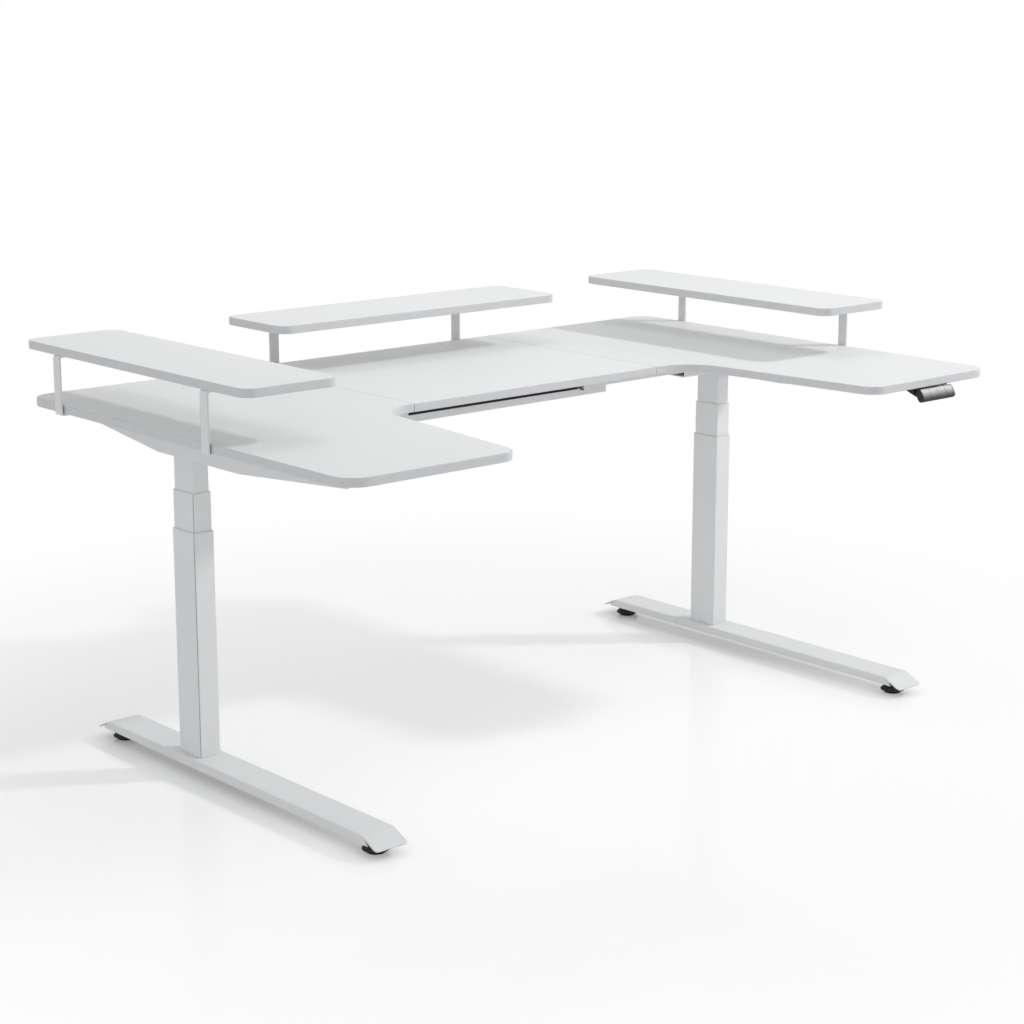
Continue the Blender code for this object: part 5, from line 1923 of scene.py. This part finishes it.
@dataclass
class Studio:
    """The floor, the light and the camera."""

    lens: float = 80.04
    sensor: float = 36.0
    camera_place: tuple[float, float, float] = (-3.2826, -3.6988, 1.6273)
    camera_turn: tuple[float, float, float] = (76.898, 0.0, -41.209)
    floor_half: float = 40.0
    floor_colour: Colour = (0.985, 0.985, 0.985)
    floor_grain: tuple[float, float] = (3.0, 4.0)
    floor_dip: float = 0.995
    floor_roughness: float = 0.10
    floor_shine: float = 0.30
    floor_white: float = 0.36
    floor_fade: Flat = (0.9, 2.3)
    # Reach, strength and samples of the painted contact shade on the floor.
    contact_shade_reach: float = 0.07
    contact_shade_depth: float = 0.60
    contact_shade_samples: int = 8
    front_white: float = 0.30
    front_fade: Flat = (-0.1, 0.5)
    ambient: float = 0.54
    left_glow: float = 0.80
    glow_rise: float = -10.0
    sky: Colour = (0.970, 0.984, 1.0)
    middle: tuple[float, float, float] = (0.0, 0.1, 0.5)
    softboxes: tuple[tuple[str, float, float, float, float, float, float], ...] = (
        ("key_lamp", -35.0, 38.0, 10.0, 0.80, 40.0, 60.0),
        ("side_softbox", -15.0, 12.0, 6.4, 3.20, 72.0, 180.0),
        ("top_softbox", -90.0, 90.0, 2.4, 1.20, 6.5, 180.0))

    def camera(self) -> None:
        """Set up the camera at the photograph's view."""
        data = bpy.data.cameras.new("camera")
        data.lens, data.sensor_width = self.lens, self.sensor
        made = placed("camera", data)
        made.location = self.camera_place
        made.rotation_euler = [math.radians(angle) for angle in self.camera_turn]
        bpy.context.scene.camera = made

    def towards(self, azimuth: float, elevation: float) -> Vector:
        """Return the direction to a lamp.

        Args:
            azimuth: degrees from +X towards +Y.
            elevation: degrees above the floor.

        Returns:
            The direction, of length 1.
        """
        turn, rise = math.radians(azimuth), math.radians(elevation)
        return Vector((math.cos(rise) * math.cos(turn), math.cos(rise) * math.sin(turn),
                       math.sin(rise)))

    def hang(self, data: bpy.types.Light, direction: Vector, distance: float) -> None:
        """Hang a lamp so that it shines on the desk's middle.

        Args:
            data: the lamp.
            direction: the direction to it from the desk.
            distance: how far away it hangs.
        """
        made = placed(data.name, data)
        made.location = Vector(self.middle) + direction * distance
        made.rotation_euler = direction.to_track_quat("Z", "Y").to_euler()

    def lamps(self) -> None:
        """Hang the square lamps: direction, distance, size, power and spread of each."""
        for name, azimuth, elevation, distance, size, watts, spread in self.softboxes:
            data = bpy.data.lights.new(name, "AREA")
            data.spread = math.radians(spread)
            data.shape, data.size, data.energy = "SQUARE", size, watts
            self.hang(data, self.towards(azimuth, elevation), distance)

    def floor(self) -> None:
        """Lay a pale floor that fades to white far away, where only the camera sees it, with
        painted shade near the desk's parts.
        """
        form = Form()
        half = self.floor_half
        corners = [form.mesh.verts.new((x, y, 0.0)) for x, y in centred(2 * half, 2 * half)]
        form.mesh.faces.new(corners)
        data = form.data("floor")
        form.mesh.free()
        made = placed("floor", data)
        paint = Paint("studio_floor")
        data.materials.append(paint.material)
        length = paint.node("ShaderNodeVectorMath", {"operation": "LENGTH"},
                            {0: paint.place()})
        far = Value(paint, length.outputs["Value"]).step(*self.floor_fade)
        seen = Value(paint, paint.node("ShaderNodeLightPath").outputs["Is Camera Ray"])
        grain = paint.noise(*self.floor_grain)
        colour = paint.mix(grain, shade(self.floor_colour, self.floor_dip),
                           self.floor_colour)
        # Painted shade: ambient occlusion darkens the floor's colour and lowers its white share
        # close to the desk's parts.
        contact_shade_node = paint.node("ShaderNodeAmbientOcclusion", {"samples": self.contact_shade_samples},
                             {"Distance": self.contact_shade_reach})
        painted_contact_shade = Value(paint, contact_shade_node.outputs["AO"])
        painted_contact_shade = painted_contact_shade * self.contact_shade_depth + (1.0 - self.contact_shade_depth)
        colour = paint.mix(painted_contact_shade, (0.0, 0.0, 0.0), colour)
        ground = paint.node("ShaderNodeBsdfPrincipled", None,
                            {"Base Color": colour, "Roughness": self.floor_roughness,
                             "Specular IOR Level": self.floor_shine})
        white = paint.node("ShaderNodeEmission", None, {"Strength": 1.0})
        front = paint.along((0.0, -1.0, 0.0)).step(*self.front_fade)
        near = (front * self.front_white + self.floor_white) * painted_contact_shade
        share = far * (1.0 - near) + near
        both = paint.node("ShaderNodeMixShader", None,
                          {0: share * seen, 1: ground.outputs[0], 2: white.outputs[0]})
        paint.node("ShaderNodeOutputMaterial", None, {"Surface": both.outputs[0]})

    def world(self) -> None:
        """Fill the room with soft light, more from the left, which shows as white."""
        world = bpy.data.worlds.new("studio")
        bpy.context.scene.world = world
        world.use_nodes = True
        paint = Paint("world_nodes")
        bpy.data.materials.remove(paint.material)
        paint.tree = world.node_tree
        paint.tree.nodes.clear()
        rays = paint.node("ShaderNodeLightPath").outputs
        shown = Value(paint, rays["Is Camera Ray"])
        for ray in ("Is Glossy Ray", "Is Transmission Ray"):
            shown = shown.largest(rays[ray])
        facing = paint.node("ShaderNodeVectorMath", {"operation": "DOT_PRODUCT"},
                            {0: paint.node("ShaderNodeTexCoord").outputs["Generated"],
                             1: self.towards(180.0, self.glow_rise)})
        side = Value(paint, facing.outputs["Value"]).largest(0.0)
        light = side * side * side * self.left_glow + self.ambient
        strength = light * (1.0 - shown) + shown
        tint = paint.mix(shown, self.sky, (1.0, 1.0, 1.0))
        back = paint.node("ShaderNodeBackground", None, {"Color": tint, "Strength": strength})
        paint.node("ShaderNodeOutputWorld", None, {"Surface": back.outputs[0]})

    def build(self) -> None:
        """Set up the floor, the light, the camera and the view."""
        self.camera()
        self.floor()
        self.world()
        self.lamps()
        bpy.context.scene.view_settings.view_transform = "Standard"
        log.info("studio ready")


def main() -> None:
    """Build the whole scene."""
    logging.basicConfig(level=logging.INFO, format="%(name)s: %(message)s")
    Studio().build()
    desk_top = DeskTop()
    desk_top.build()
    ShelfSet(desk_top).build()
    TopFrame().build()
    for side in Side:
        Column(side).build()
        Foot(side).build()
    ControlUnit().build()
    Handset().build()
    LiftingGear().build()


if __name__ == "__main__":
    main()
